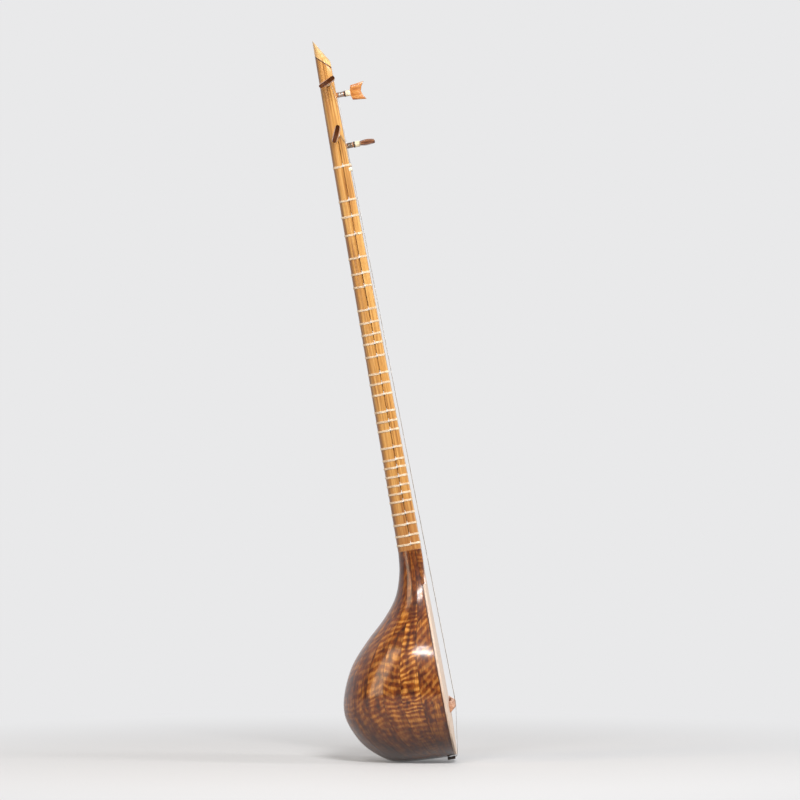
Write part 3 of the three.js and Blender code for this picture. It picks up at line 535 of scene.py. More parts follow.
@dataclass(frozen=True)
class Finish:
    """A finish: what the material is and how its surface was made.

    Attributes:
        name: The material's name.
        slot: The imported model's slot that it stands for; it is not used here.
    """

    name: str
    slot: str

    def material(self) -> bpy.types.Material:
        """Finds the finish's material, or makes it the first time that it is asked for.

        Returns:
            The material.
        """
        known = bpy.data.materials.get(self.name)
        if known:
            return known
        made = bpy.data.materials.new(self.name)
        made.use_nodes = True
        tree = made.node_tree
        plug(tree, tree.nodes["Principled BSDF"], self.paint(tree))
        return made

    def paint(self, tree: Tree) -> Sockets:
        """Adds the finish's patterns and returns what goes in the shader's sockets."""
        raise NotImplementedError


@dataclass(frozen=True)
class Walnut(Finish):
    """Figured walnut, sawn to ribs, bent over a hot iron and brushed with varnish.

    The eye sees dark brown wood with gold ripples across its grain, which turn from rib to rib as
    the planks do. The coat is smooth and hard, so that lamps show in it with clear edges.

    Attributes:
        ground: Stops of the wood's own colour, from its dark clouds to its light ones.
        crest: Colour of a ripple's crest.
        hollow: Colour between two crests.
        line: Colour of the long grain lines.
        pore: Colour of the pores.
        deep: Colour of the darkest planks, and of the painted shade towards the tail.
        glue: Colour of the glued joint between two ribs.
        band_scale: The scale at which a wave's bands lie one unit of the figure's map apart.
        cloud_size: Size of the clouds, across and along the grain.
        mottle_size: Size of the mottles.
        line_size: Size of the long grain lines.
        pore_size: Size of the pores.
    """

    ground: tuple[tuple[float, str], ...] = (
        (0.33, "350f01"), (0.43, "5f2503"), (0.52, "8b4408"), (0.62, "b4691a"), (0.74, "db933f"))
    crest: str = "f2ad54"
    hollow: str = "431502"
    line: str = "3a1503"
    pore: str = "2a0f04"
    deep: str = "33190d"
    glue: str = "1d0a03"
    band_scale: float = 0.314
    cloud_size: tuple[float, float, float] = (9, 24, 1)
    mottle_size: tuple[float, float, float] = (4.5, 6, 1)
    line_size: tuple[float, float, float] = (1.3, 46, 1)
    # Walnut's pores are 0.2 mm wide, too fine to show, so they are drawn at twice that
    pore_size: tuple[float, float, float] = (0.45, 5, 1)

    def paint(self, tree: Tree) -> Sockets:
        """Adds the ripple, the streaks, the pores and the glue lines.

        Args:
            tree: The material's nodes.

        Returns:
            What goes in the shader's sockets.
        """
        grain = add_node(tree, "UVMap", uv_map="plank")
        figure = add_node(tree, "UVMap", uv_map="figure")
        shade, strength, edge = (
            add_node(tree, "Attribute", output="Fac", attribute_name=name)
            for name in ("shade", "ripple", "edge"))
        wave = {
            "Vector": figure, "Scale": self.band_scale, "Distortion": 8.5, "Detail": 2.0,
            "Detail Scale": 0.75, "Detail Roughness": 0.5}
        ripple = add_node(tree, "TexWave", wave, "Fac", bands_direction="Y")
        cloud = speckled(tree, grain, self.cloud_size)
        mottle = speckled(tree, grain, self.mottle_size, 2.0)
        depth = add_node(tree, "Mix", {0: 0.4, 2: cloud, 3: mottle})
        wood = add_node(tree, "ValToRGB", [depth], stops=self.ground)
        # Crests shine most where the wood itself is light
        crest = add_node(tree, "MapRange", [ripple, 0.35, 0.95], **EASED)
        light = add_node(tree, "MapRange", [cloud, 0.38, 0.62, 0.1, 0.95], **EASED)
        shine = add_node(tree, "Math", [crest, light], operation="MULTIPLY")
        shine = add_node(tree, "Math", [shine, strength], operation="MULTIPLY")
        hollow = add_node(tree, "MapRange", [ripple, 0.35, 0.1, 0.0, 0.35], **EASED)
        hollow = add_node(tree, "Math", [hollow, strength], operation="MULTIPLY")
        # Long lines show most on ribs with little ripple
        plain = add_node(tree, "MapRange", [strength, 0.0, 0.6, 0.85, 0.4], **EASED)
        lines = add_node(tree, "MapRange", [speckled(tree, grain, self.line_size), 0.50, 0.68], **EASED)
        lines = add_node(tree, "Math", [lines, plain], operation="MULTIPLY")
        pores = speckled(tree, grain, self.pore_size, 1.0)
        pores = add_node(tree, "MapRange", [pores, 0.60, 0.72, 0.0, 0.45], **EASED)
        joint = add_node(tree, "MapRange", [edge, 0.15, 0.4, 0.5, 0.0], **EASED)
        # The shade layer darkens the darker planks and the throat, and paints shade on the bowl's underside
        # towards the tail
        layers = (
            (shine, self.crest), (hollow, self.hollow), (lines, self.line), (pores, self.pore),
            (shade, self.deep), (joint, self.glue))
        return {
            "Base Color": overlaid(tree, wood, layers),
            "Roughness": add_node(tree, "MapRange", [mottle, 0.3, 0.7, 0.36, 0.5], **EASED),
            "Normal": add_node(tree, "Bump", {"Height": pores, "Strength": 0.25, "Distance": 0.1 * MM}),
            "Specular IOR Level": 0.25,
            "Coat Weight": 1.0,
            "Coat Roughness": 0.12,
            "Coat IOR": 1.5,
        }


@dataclass(frozen=True)
class PlainWood(Finish):
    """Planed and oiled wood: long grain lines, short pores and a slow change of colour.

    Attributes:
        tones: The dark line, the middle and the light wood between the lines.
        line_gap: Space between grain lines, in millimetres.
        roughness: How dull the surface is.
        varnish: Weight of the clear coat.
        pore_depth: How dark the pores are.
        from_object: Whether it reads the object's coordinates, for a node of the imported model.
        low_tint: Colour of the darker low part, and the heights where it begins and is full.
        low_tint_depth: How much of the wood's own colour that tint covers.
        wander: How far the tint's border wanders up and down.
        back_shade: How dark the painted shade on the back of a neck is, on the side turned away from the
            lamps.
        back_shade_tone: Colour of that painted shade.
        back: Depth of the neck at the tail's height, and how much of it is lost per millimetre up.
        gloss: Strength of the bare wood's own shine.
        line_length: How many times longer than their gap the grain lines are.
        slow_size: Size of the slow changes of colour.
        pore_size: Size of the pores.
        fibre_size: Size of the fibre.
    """

    tones: tuple[str, str, str]
    line_gap: float = 2.2
    roughness: float = 0.45
    varnish: float = 0.25
    pore_depth: float = 0.35
    from_object: bool = False
    low_tint: tuple[str, float, float] | None = None
    low_tint_depth: float = 0.55
    wander: float = 60.0
    # Painted shade on the back of a neck, which faces away from the lamps
    back_shade: float = 0.0
    back_shade_tone: str = "5c3312"
    back: Pair = (32.0, 0.0184)
    gloss: float = 0.5
    line_length: float = 45.0
    slow_size: tuple[float, float, float] = (14, 14, 90)
    # The pores and fibre of these woods are 0.1 mm wide, too fine to show, and are drawn at 0.5 mm
    pore_size: tuple[float, float, float] = (0.5, 0.5, 7)
    fibre_size: tuple[float, float, float] = (0.5, 0.5, 16)

    def paint(self, tree: Tree) -> Sockets:
        """Adds the grain lines, the fibre, the pores, a darker low part and painted shade on a neck's back.

        Args:
            tree: The material's nodes.

        Returns:
            What goes in the shader's sockets.
        """
        if self.from_object:
            where = add_node(tree, "TexCoord", output="Object")
            grain = add_node(tree, "Mapping", {"Vector": where, "Scale": [1 / MM] * 3})
        else:
            grain = add_node(tree, "Attribute", output="Vector", attribute_name="grain")
        dark, middle, light = self.tones
        lines = speckled(tree, grain, (self.line_gap, self.line_gap, self.line_gap * self.line_length))
        slow = speckled(tree, grain, self.slow_size, 2.0)
        fibre = speckled(tree, grain, self.fibre_size, 2.0)
        wood = add_node(tree, "ValToRGB", [lines], stops=((0.33, dark), (0.50, middle), (0.66, light)))
        even = add_node(tree, "MapRange", [slow, 0.35, 0.65, 0.0, 0.45], **EASED)
        pores = speckled(tree, grain, self.pore_size, 1.0)
        pores = add_node(tree, "MapRange", [pores, 0.60, 0.72, 0.0, self.pore_depth], **EASED)
        layers = [(even, middle), (pores, dark)]
        # A darker tint low down, with a wandering border
        if self.low_tint:
            tint, start, end = self.low_tint
            height = add_node(tree, "SeparateXYZ", [grain], "Z")
            wavy = add_node(tree, "Math", [slow, self.wander, height], operation="MULTIPLY_ADD")
            limits = (end + self.wander / 2, start + self.wander / 2)
            tinted_low = add_node(tree, "MapRange", [wavy, *limits, self.low_tint_depth, 0.0], **EASED)
            layers.append((tinted_low, tint))
        # Painted shade: the back of the neck, turned away from the lamps, is darkened in its colour
        if self.back_shade:
            height = add_node(tree, "SeparateXYZ", [grain], "Z")
            depth = add_node(tree, "Math", [height, -self.back[1], self.back[0]], operation="MULTIPLY_ADD")
            inside = add_node(tree, "Math", [depth, height.node.outputs["X"]], operation="ADD")
            worn = add_node(tree, "MapRange", [inside, 0.8, 5.5, self.back_shade, 0.0], **EASED)
            layers.append((worn, self.back_shade_tone))
        rough = [fibre, 0.3, 0.7, self.roughness - 0.06, self.roughness + 0.08]
        return {
            "Base Color": overlaid(tree, wood, layers),
            "Roughness": add_node(tree, "MapRange", rough, **EASED),
            "Normal": add_node(tree, "Bump", {"Height": fibre, "Strength": 0.2, "Distance": 0.1 * MM}),
            "Specular IOR Level": self.gloss,
            "Coat Weight": self.varnish,
            "Coat Roughness": 0.2,
        }


@dataclass(frozen=True)
class Bone(Finish):
    """Sawn and polished camel bone: cream, a little cloudy, with faint long streaks."""

    def paint(self, tree: Tree) -> Sockets:
        """Adds the clouds, which are longer along the bone.

        Args:
            tree: The material's nodes.

        Returns:
            What goes in the shader's sockets.
        """
        grain = add_node(tree, "Attribute", output="Vector", attribute_name="grain")
        clouds = speckled(tree, grain, (2.5, 2.5, 5))
        return {
            "Base Color": add_node(
                tree, "ValToRGB", [clouds], stops=((0.35, "d9c79d"), (0.5, "efe3c4"), (0.65, "f8f0da"))),
            "Roughness": add_node(tree, "MapRange", [clouds, 0.3, 0.7, 0.28, 0.4], **EASED),
            "Coat Weight": 0.3,
        }


@dataclass(frozen=True)
class Gut(Finish):
    """Twisted and rubbed gut: smooth cord, darker where it is handled.

    Attributes:
        tones: The handled, the middle and the clean colour.
        twist: Size of the strands. Real ones are 0.1 mm wide, too fine to show, and are drawn coarser.
    """

    tones: tuple[str, str, str] = ("dcc09c", "f1dabb", "faeed8")
    twist: tuple[float, float, float] = (0.35, 0.9, 0.35)

    def paint(self, tree: Tree) -> Sockets:
        """Adds the handled patches and the faint twist.

        Args:
            tree: The material's nodes.

        Returns:
            What goes in the shader's sockets.
        """
        grain = add_node(tree, "Attribute", output="Vector", attribute_name="grain")
        worn = speckled(tree, grain, (4, 4, 4))
        twist = speckled(tree, grain, self.twist, 1.0)
        stops = tuple(zip((0.32, 0.5, 0.68), self.tones))
        return {
            "Base Color": add_node(tree, "ValToRGB", [worn], stops=stops),
            "Roughness": add_node(tree, "MapRange", [worn, 0.3, 0.7, 0.38, 0.5], **EASED),
            "Normal": add_node(tree, "Bump", {"Height": twist, "Strength": 0.2, "Distance": 0.05 * MM}),
        }


@dataclass(frozen=True)
class Wire(Finish):
    """Drawn music wire: bright metal with faint dull spots where fingers have been.

    Attributes:
        metal: The metal's colour.
        worn: The colour of its dull spots.
    """

    metal: str = "dbd8d4"
    worn: str = "b9b4ae"

    def paint(self, tree: Tree) -> Sockets:
        """Adds the dull spots.

        Args:
            tree: The material's nodes.

        Returns:
            What goes in the shader's sockets.
        """
        grain = add_node(tree, "Attribute", output="Vector", attribute_name="grain")
        spots = speckled(tree, grain, (3, 3, 9))
        return {
            "Base Color": add_node(tree, "ValToRGB", [spots], stops=((0.35, self.worn), (0.6, self.metal))),
            "Roughness": add_node(tree, "MapRange", [spots, 0.3, 0.7, 0.5, 0.36], **EASED),
            "Metallic": 1.0,
        }


# Walnut, bent and varnished: gold ripples under a coat in which the lamps show
RIB_WALNUT = Walnut("figured_walnut", "bowl_wood")
# Apricot wood, shaved and oiled: a honey neck with long lines, browner low down, with painted shade on its
# back
NECK_WOOD = PlainWood(
    "oiled_apricot", "neck_wood", ("935a1f", "cb9146", "e4b468"), line_gap=2.0, roughness=0.42,
    pore_depth=0.45, low_tint=("9a5a24", 340, 250), back_shade=0.65)
# Maple strip, oiled with the neck: a thin brown ring where the bowl begins
STRIP_WOOD = PlainWood(
    "oiled_maple", "neck_wood", ("7d4a1e", "a06a34", "bd8648"), line_gap=1.2, roughness=0.42)
# Mulberry, planed and left almost bare: a pale matt face with fine lines
BOARD_WOOD = PlainWood(
    "planed_mulberry", "soundboard_wood", ("c8ac94", "dcc4b0", "e8d6c6"), line_gap=1.1, roughness=0.55,
    varnish=0.1, pore_depth=0.25)
# Pear, carved and polished: smooth reddish pegs
PEG_WOOD = PlainWood(
    "polished_pear", "peg_wood", ("96501f", "c47c36", "dda05c"), line_gap=1.4, roughness=0.3, varnish=0.6)
# The same pear, brown and as smooth: partly a darker tone, partly painted shade, on the lower front peg's
# head
DARK_SHADED_PEG_WOOD = PlainWood(
    "darker_pear_painted_shade", "peg_wood", ("4a230c", "7a4420", "9c6434"), line_gap=1.4, roughness=0.3, varnish=0.6)
# End grain on the pegs' tails: dark hollow ends with hardly a shine
PEG_END_WOOD = PlainWood(
    "polished_pear_end_grain", "peg_wood", ("2e1306", "4c260e", "673c1b"), line_gap=0.9, roughness=0.5,
    varnish=0.0, gloss=0.1)
# Pear, carved and left bare: a dull pink-brown bridge
BRIDGE_WOOD = PlainWood(
    "carved_pear", "bridge_wood", ("9a6347", "c08c6b", "d6a98a"), line_gap=1.2, roughness=0.5, varnish=0.1)
# Boxwood, planed and oiled: a tip paler than the neck
FINIAL_WOOD = PlainWood(
    "oiled_boxwood", "finial_wood", ("cf9a54", "e3b672", "f1d29a"), line_gap=1.5, roughness=0.4,
    varnish=0.3)
# Rosewood, turned and polished: almost black rings and comb
DARK_WOOD = PlainWood(
    "polished_rosewood", "dark_wood", ("140a05", "2e170c", "45240f"), line_gap=0.8, roughness=0.35,
    varnish=0.5)
# Walnut strip, bent and varnished: a dark line under the soundboard and across the head
BINDING_WOOD = PlainWood(
    "varnished_walnut_strip", "dark_wood", ("3a1a0a", "54290f", "6b3a1a"), line_gap=0.8, roughness=0.4,
    varnish=0.4)
# Willow, sawn and left rough: the pale block inside the tail
BLOCK_WOOD = PlainWood(
    "sawn_willow", "block_wood", ("a1855a", "c9ab7c", "d9c194"), line_gap=2.5, roughness=0.8, varnish=0.0,
    pore_depth=0.3, from_object=True)
# Camel bone, polished: cream nut and collars
BONE = Bone("polished_bone", "bone")
# Gut, twisted and rubbed: cream frets
GUT = Gut("twisted_gut", "gut")
# Gut coloured dark brown for the lower loose end below each knot: painted shade under the knot
SHADED_GUT_TIP = Gut("singed_gut", "gut", ("25160c", "3d2718", "5f4028"))
# Steel, drawn: bright thin strings
STEEL = Wire("drawn_steel", "steel_wire")
# Brass, drawn and tarnished: duller, greyer strings
BRASS = Wire("tarnished_brass", "brass_wire", "aaa196", "7f7970")


# Forms that the pieces share

TIE_PAST_NUT = 6.8
PEG_RADIUS = 3.0


@dataclass(frozen=True)
class BowlForm:
    """The bowl's outer surface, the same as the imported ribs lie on.

    The shares give each row's rise, of the length, and its spread, between the tail's radius or the
    neck's foot and the widest.
    """

    length: float = 245.0
    half_width: float = 70.0
    back_depth: float = 117.9
    rim_depth: float = 6.6
    tail_radius: float = 8.0
    neck_half_width: float = 15.5
    neck_back_depth: float = 20.9
    widest_row: int = 6
    ribs: int = 13
    arc_samples: int = 720
    rim_shares: tuple[Pair, ...] = (
        (0, 0), (0.010, 0.258), (0.037, 0.516), (0.090, 0.758), (0.163, 0.919), (0.245, 0.992),
        (0.327, 1), (0.424, 0.945), (0.531, 0.789), (0.629, 0.569), (0.718, 0.349), (0.808, 0.174),
        (0.902, 0.055), (1, 0))
    back_shares: tuple[Pair, ...] = (
        (-0.006, 0), (0.001, 0.228), (0.012, 0.504), (0.043, 0.668), (0.122, 0.859), (0.224, 0.975),
        (0.310, 1), (0.408, 0.933), (0.514, 0.789), (0.612, 0.562), (0.702, 0.314), (0.792, 0.134),
        (0.898, 0.036), (1, 0))

    def _curve(self, shares: Sequence[Pair], widest: float, at_neck: float, run: float) -> Pair:
        """Finds a point on one of the two drawn curves.

        Args:
            shares: The curve's rise and spread, row by row.
            widest: Its greatest spread.
            at_neck: Its spread at the neck.
            run: From 0 at the tail to 1 at the neck.

        Returns:
            The spread and the height.
        """
        points = []
        for row, (rise, spread) in enumerate(shares):
            least = self.tail_radius if row < self.widest_row else at_neck
            points.append((between(least, widest, spread), rise * self.length))
        return spline_point(points, run)

    def rim(self, run: float) -> Pair:
        """Returns the half width and the height of the soundboard's edge, from the tail to the neck."""
        return self._curve(self.rim_shares, self.half_width, self.neck_half_width, run)

    def back(self, run: float) -> Pair:
        """Returns the depth and the height of the bowl's back, from the tail to the neck."""
        return self._curve(self.back_shares, self.back_depth, self.neck_back_depth, run)

    def point(self, turn: float, run: float) -> Vector:
        """Finds a point on the bowl.

        Args:
            turn: Angle from the bass rim, over the back, to the treble rim.
            run: From 0 at the tail to 1 at the neck.

        Returns:
            The point.
        """
        rim_width, rim_height = self.rim(run)
        back_width, back_height = self.back(run)
        height = between(rim_height, back_height, math.sin(turn) ** 2)
        return Vector((-self.rim_depth - back_width * math.sin(turn), -rim_width * math.cos(turn), height))

    def turns(self) -> list[float]:
        """Finds the joints between the ribs, which are equally wide round the widest section.

        Returns:
            The joints' angles, from rim to rim.
        """
        lengths = [0.0]
        for sample in range(self.arc_samples):
            turn = math.pi * (sample + 0.5) / self.arc_samples
            step = math.hypot(self.half_width * math.sin(turn), self.back_depth * math.cos(turn))
            lengths.append(lengths[-1] + step)
        found = []
        for joint in range(self.ribs + 1):
            wanted = lengths[-1] * joint / self.ribs
            sample = next(i for i, reach in enumerate(lengths) if reach >= wanted)
            found.append(sample * math.pi / self.arc_samples)
        return found

    def run_at(self, height: float) -> float:
        """Finds how far along the rim a height lies.

        Args:
            height: The height.

        Returns:
            The run, from 0 at the tail to 1 at the neck.
        """
        low, high = 0.0, 1.0
        for _ in range(32):
            middle = (low + high) / 2
            low, high = (middle, high) if self.rim(middle)[1] < height else (low, middle)
        return (low + high) / 2

    def rim_at(self, height: float) -> float:
        """Returns the half width of the rim at a height."""
        return self.rim(self.run_at(height))[0]


@dataclass(frozen=True)
class NeckForm:
    """The neck's and head's section: a flat front, straight sides and a half-round back.

    The widths and depths are those at the foot, at the nut and at the tip.
    """

    foot: float = 245.0
    nut: float = 695.0
    tip: float = 853.5
    widths: tuple[float, float, float] = (31.0, 24.5, 22.0)
    depths: tuple[float, float, float] = (27.5, 19.5, 16.3)
    side_share: float = 0.24
    low_side_share: float = 0.6
    front_round: float = 0.9
    front_shares: tuple[float, ...] = (0.0, 0.3, 0.6)
    corner_steps: int = 4
    back_steps: int = 30
    groove_share: float = 0.39

    def size(self, height: float) -> Pair:
        """Finds the section's size.

        Args:
            height: The height of the section.

        Returns:
            The half width and the depth.
        """
        if height < self.nut:
            low, high, ends = self.foot, self.nut, slice(0, 2)
        else:
            low, high, ends = self.nut, self.tip, slice(1, 3)
        share = (height - low) / (high - low)
        return between(*self.widths[ends], share) / 2, between(*self.depths[ends], share)

    def outline(self, height: float, let_out: float = 0.0) -> list[Vector]:
        """Draws the section at a height.

        Args:
            height: The height of the section.
            let_out: How far outside the wood it is drawn.

        Returns:
            Its corners, from the middle of the front round the bass side.
        """
        half, depth = self.size(height)
        corner = self.front_round + let_out
        half += let_out
        side = depth * self.side_share
        back = depth - side + let_out
        bass = [(let_out, -half * share) for share in self.front_shares]
        for step in range(self.corner_steps + 1):
            turn = math.pi / 2 * step / self.corner_steps
            bass.append((let_out - corner * (1 - math.cos(turn)), -half + corner * (1 - math.sin(turn))))
        bass.append((-side * self.low_side_share, -half))
        treble = [(x, -y) for x, y in reversed(bass[1:])]
        angles = [math.pi * step / self.back_steps for step in range(self.back_steps + 1)]
        rear = [(-side - back * math.sin(turn), -half * math.cos(turn)) for turn in angles]
        return [Vector((x, y, height)) for x, y in (*bass, *rear, *treble)]

    def groove_spot(self, height: float) -> Vector:
        """Finds the middle of the knots' groove on the bass side.

        Args:
            height: The height of the place.

        Returns:
            The point on the wood's face.
        """
        half, depth = self.size(height)
        side = depth * self.side_share
        past = (depth * self.groove_share - side) / (depth - side)
        return Vector((-depth * self.groove_share, -half * math.sqrt(1 - past**2), height))


BOWL = BowlForm()
NECK = NeckForm()


@dataclass(frozen=True)
class Placement:
    """Where the leaning instrument stands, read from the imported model's joints."""

    matrix: Matrix

    @classmethod
    def from_frame(cls, peg_height: float) -> "Placement":
        """Works out the placement.

        Args:
            peg_height: Height of the upper front peg's axis in the instrument's frame.

        Returns:
            The placement.
        """
        joints = {joint["name"]: joint for joint in frame["joints"]}
        peg = joints["peg_front_upper_turn"]
        forward = Vector(peg["axis"]).normalized()
        up = Vector(joints["bridge_slide"]["axis"]).normalized()
        turn = Matrix((forward, up.cross(forward), up)).transposed()
        shift = Vector(peg["pos_m"]) - turn @ Vector((0, 0, peg_height * MM))
        return cls(Matrix.Translation(shift) @ turn.to_4x4() @ Matrix.Scale(MM, 4))

    def settle(
        self,
        piece: Piece,
        finish: Finish,
        body: str = "instrument",
        replaced: Sequence[str] = (),
        grain: Grain | None = None,
    ) -> None:
        """Gives a finished piece its grain, finish, place and body.

        Args:
            piece: The piece, in the instrument's frame.
            finish: Its finish.
            body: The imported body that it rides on.
            replaced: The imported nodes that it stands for.
            grain: Turns a point of the piece to a point in the wood, whose grain runs along Z.
        """
        mesh = piece.data
        wood = mesh.attributes.new("grain", "FLOAT_VECTOR", "POINT")
        spots = [grain(v.co) if grain else v.co for v in mesh.vertices]
        wood.data.foreach_set("vector", [axis for spot in spots for axis in spot])
        if not mesh.materials:
            mesh.materials.append(finish.material())
        smooth(piece)
        mesh.transform(self.matrix)
        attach(piece, body)
        if replaced:
            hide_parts(*replaced)
        LOG.info("%s rides on %s, %d faces", piece.name, body, len(mesh.polygons))


class PlankMap:
    """The layers of a mesh that figured walnut reads.

    Attributes:
        mesh: The mesh.
    """

    def __init__(self, mesh: bpy.types.Mesh, shade: float, ripple: float) -> None:
        """Adds the layers.

        Args:
            mesh: The mesh.
            shade: How much darker this plank is, from 0 to 1.
            ripple: How strong its ripple is, from 0 to 1.
        """
        self.mesh = mesh
        if mesh.uv_layers:
            mesh.uv_layers[0].name = "plank"
        else:
            mesh.uv_layers.new(name="plank")
        mesh.uv_layers.new(name="figure")
        mesh.attributes.new("edge", "FLOAT", "CORNER")
        for name, value in (("shade", shade), ("ripple", ripple)):
            layer = mesh.attributes.new(name, "FLOAT", "POINT")
            layer.data.foreach_set("value", [value] * len(mesh.vertices))

    def draw(self, loop: bpy.types.MeshLoop, plank: Pair, figure: Pair, edge: float) -> None:
        """Writes where one corner of a face lies.

        Args:
            loop: The corner.
            plank: Its place across and along the plank, in millimetres.
            figure: Its place in the ripple, whose bands lie one apart.
            edge: How far it is from a glued edge, in millimetres.
        """
        self.mesh.uv_layers["plank"].data[loop.index].uv = plank
        self.mesh.uv_layers["figure"].data[loop.index].uv = figure
        self.mesh.attributes["edge"].data[loop.index].value = edge

    def tone(self, loop: bpy.types.MeshLoop, shade: float, ripple: float) -> None:
        """Writes how dark and how rippled the wood is at one corner of a face."""
        self.mesh.attributes["shade"].data[loop.vertex_index].value = shade
        self.mesh.attributes["ripple"].data[loop.vertex_index].value = ripple


# Bowl


@dataclass
class RibbedBowl:
    """Thirteen ribs, bent and glued edge to edge.

    Attributes:
        wall: Thickness of a rib.
        hairline: How far each glued edge is drawn back, so that a fine line shows.
        flatness: How far a rib is bent towards flat between its edges, from 0 to 1.
        across: Faces across a rib.
        along: Faces along a rib.
        grain_length: Length of a plank.
        plank_shift: How far apart in the pattern two neighbouring planks are.
        planks: Of each rib from the bass rim: the ripple's slant in degrees, its spacing in
            millimetres and its strength, and the plank's shade.
        slant_span: Where along the rib the slant comes in.
        throat_span: Where the wood grows darker and loses its ripple towards the throat.
        tail_span: Where it loses its ripple towards the tail, and painted shade darkens the underside.
        calm: How much of the ripple is lost at the throat and at the tail.
        throat_tint_and_tail_shade: How much darker the wood is at the throat, and how dark the painted shade
            is at the tail.
    """

    wall: float = 2.0
    hairline: float = 0.04
    flatness: float = 0.2
    across: int = 8
    along: int = 120
    grain_length: float = 300.0
    plank_shift: float = 47.0
    planks: tuple[tuple[float, float, float, float], ...] = (
        (38, 8.6, 0.42, 0.1), (3, 6.0, 0.7, 0.0), (-10, 7.5, 0.5, 0.04), (12, 7.0, 0.4, 0.14),
        (16, 8.0, 0.3, 0.32), (4, 7.0, 0.3, 0.36), (-14, 6.4, 0.4, 0.3), (8, 6.2, 0.5, 0.15),
        (22, 7.6, 0.45, 0.15), (-6, 6.4, 0.6, 0.08), (12, 6.8, 0.5, 0.12), (26, 7.2, 0.6, 0.04),
        (-12, 6.0, 0.4, 0.18))
    slant_span: Pair = (0.28, 0.5)
    throat_span: Pair = (0.72, 0.88)
    tail_span: Pair = (0.2, 0.47)
    calm: Pair = (0.85, 0.75)
    throat_tint_and_tail_shade: Pair = (0.22, 0.62)

    def build(self, placement: Placement) -> None:
        """Builds every rib and settles it.

        Args:
            placement: Where the instrument stands.
        """
        turns = BOWL.turns()
        for number, (start, end) in enumerate(zip(turns, turns[1:])):
            rib = self._rib(f"rib_{number + 1:02d}", start, end)
            self._draw_grain(rib, number, start, end)
            placement.settle(rib, RIB_WALNUT, replaced=[f"stave_{number + 1:02d}"])

    def _rib(self, name: str, start: float, end: float) -> Piece:
        """Bends one rib.

        Args:
            name: The rib's name.
            start: The turn of its first edge.
            end: The turn of its second edge.

        Returns:
            The rib.
        """

        def place(across: float, along: float) -> Vector:
            """Finds a point on the rib's outer face.

            Args:
                across: From 0 at the second edge to 1 at the first.
                along: From 0 at the tail to 1 at the neck.

            Returns:
                The point.
            """
            chord = BOWL.point(end, along).lerp(BOWL.point(start, along), across)
            point = BOWL.point(between(end, start, across), along).lerp(chord, self.flatness)
            if across in (0.0, 1.0):
                inward = BOWL.point((start + end) / 2, along) - point
                point += inward.normalized() * self.hairline
            return point

        return thicken(sheet(name, self.across, self.along, place), self.wall)

    def _draw_grain(self, rib: Piece, number: int, start: float, end: float) -> None:
        """Writes where each point of a rib lies in its plank and in the plank's ripple.

        Args:
            rib: The rib.
            number: Its number from the bass rim, from 0.
            start: The turn of its first edge.
            end: The turn of its second edge.
        """
        slant, spacing, ripple, shade = self.planks[number]
        shift = self.plank_shift * (number + 1)
        drawn = PlankMap(rib.data, shade, ripple)
        shares = rib.data.uv_layers["plank"].data
        widths: dict[int, float] = {}
        for loop in rib.data.loops:
            across, along = shares[loop.index].uv
            row = round(along * self.along)
            if row not in widths:
                widths[row] = (BOWL.point(start, along) - BOWL.point(end, along)).length
            u, v = (across - 0.5) * widths[row], along * self.grain_length
            slope = math.tan(math.radians(slant) * smoothstep(along, *self.slant_span))
            drawn.draw(
                loop, (u + shift, v + shift), (u / spacing + shift, (v - u * slope) / spacing + shift),
                min(across, 1 - across) * widths[row])
            # Darker towards the throat; towards the tail, painted shade on the underside, which faces the
            # floor
            throat, tail = smoothstep(along, *self.throat_span), 1 - smoothstep(along, *self.tail_span)
            drawn.tone(
                loop, clamp(shade + self.throat_tint_and_tail_shade[0] * throat + self.throat_tint_and_tail_shade[1] * tail),
                ripple * (1 - self.calm[0] * throat) * (1 - self.calm[1] * tail))


# Soundboard


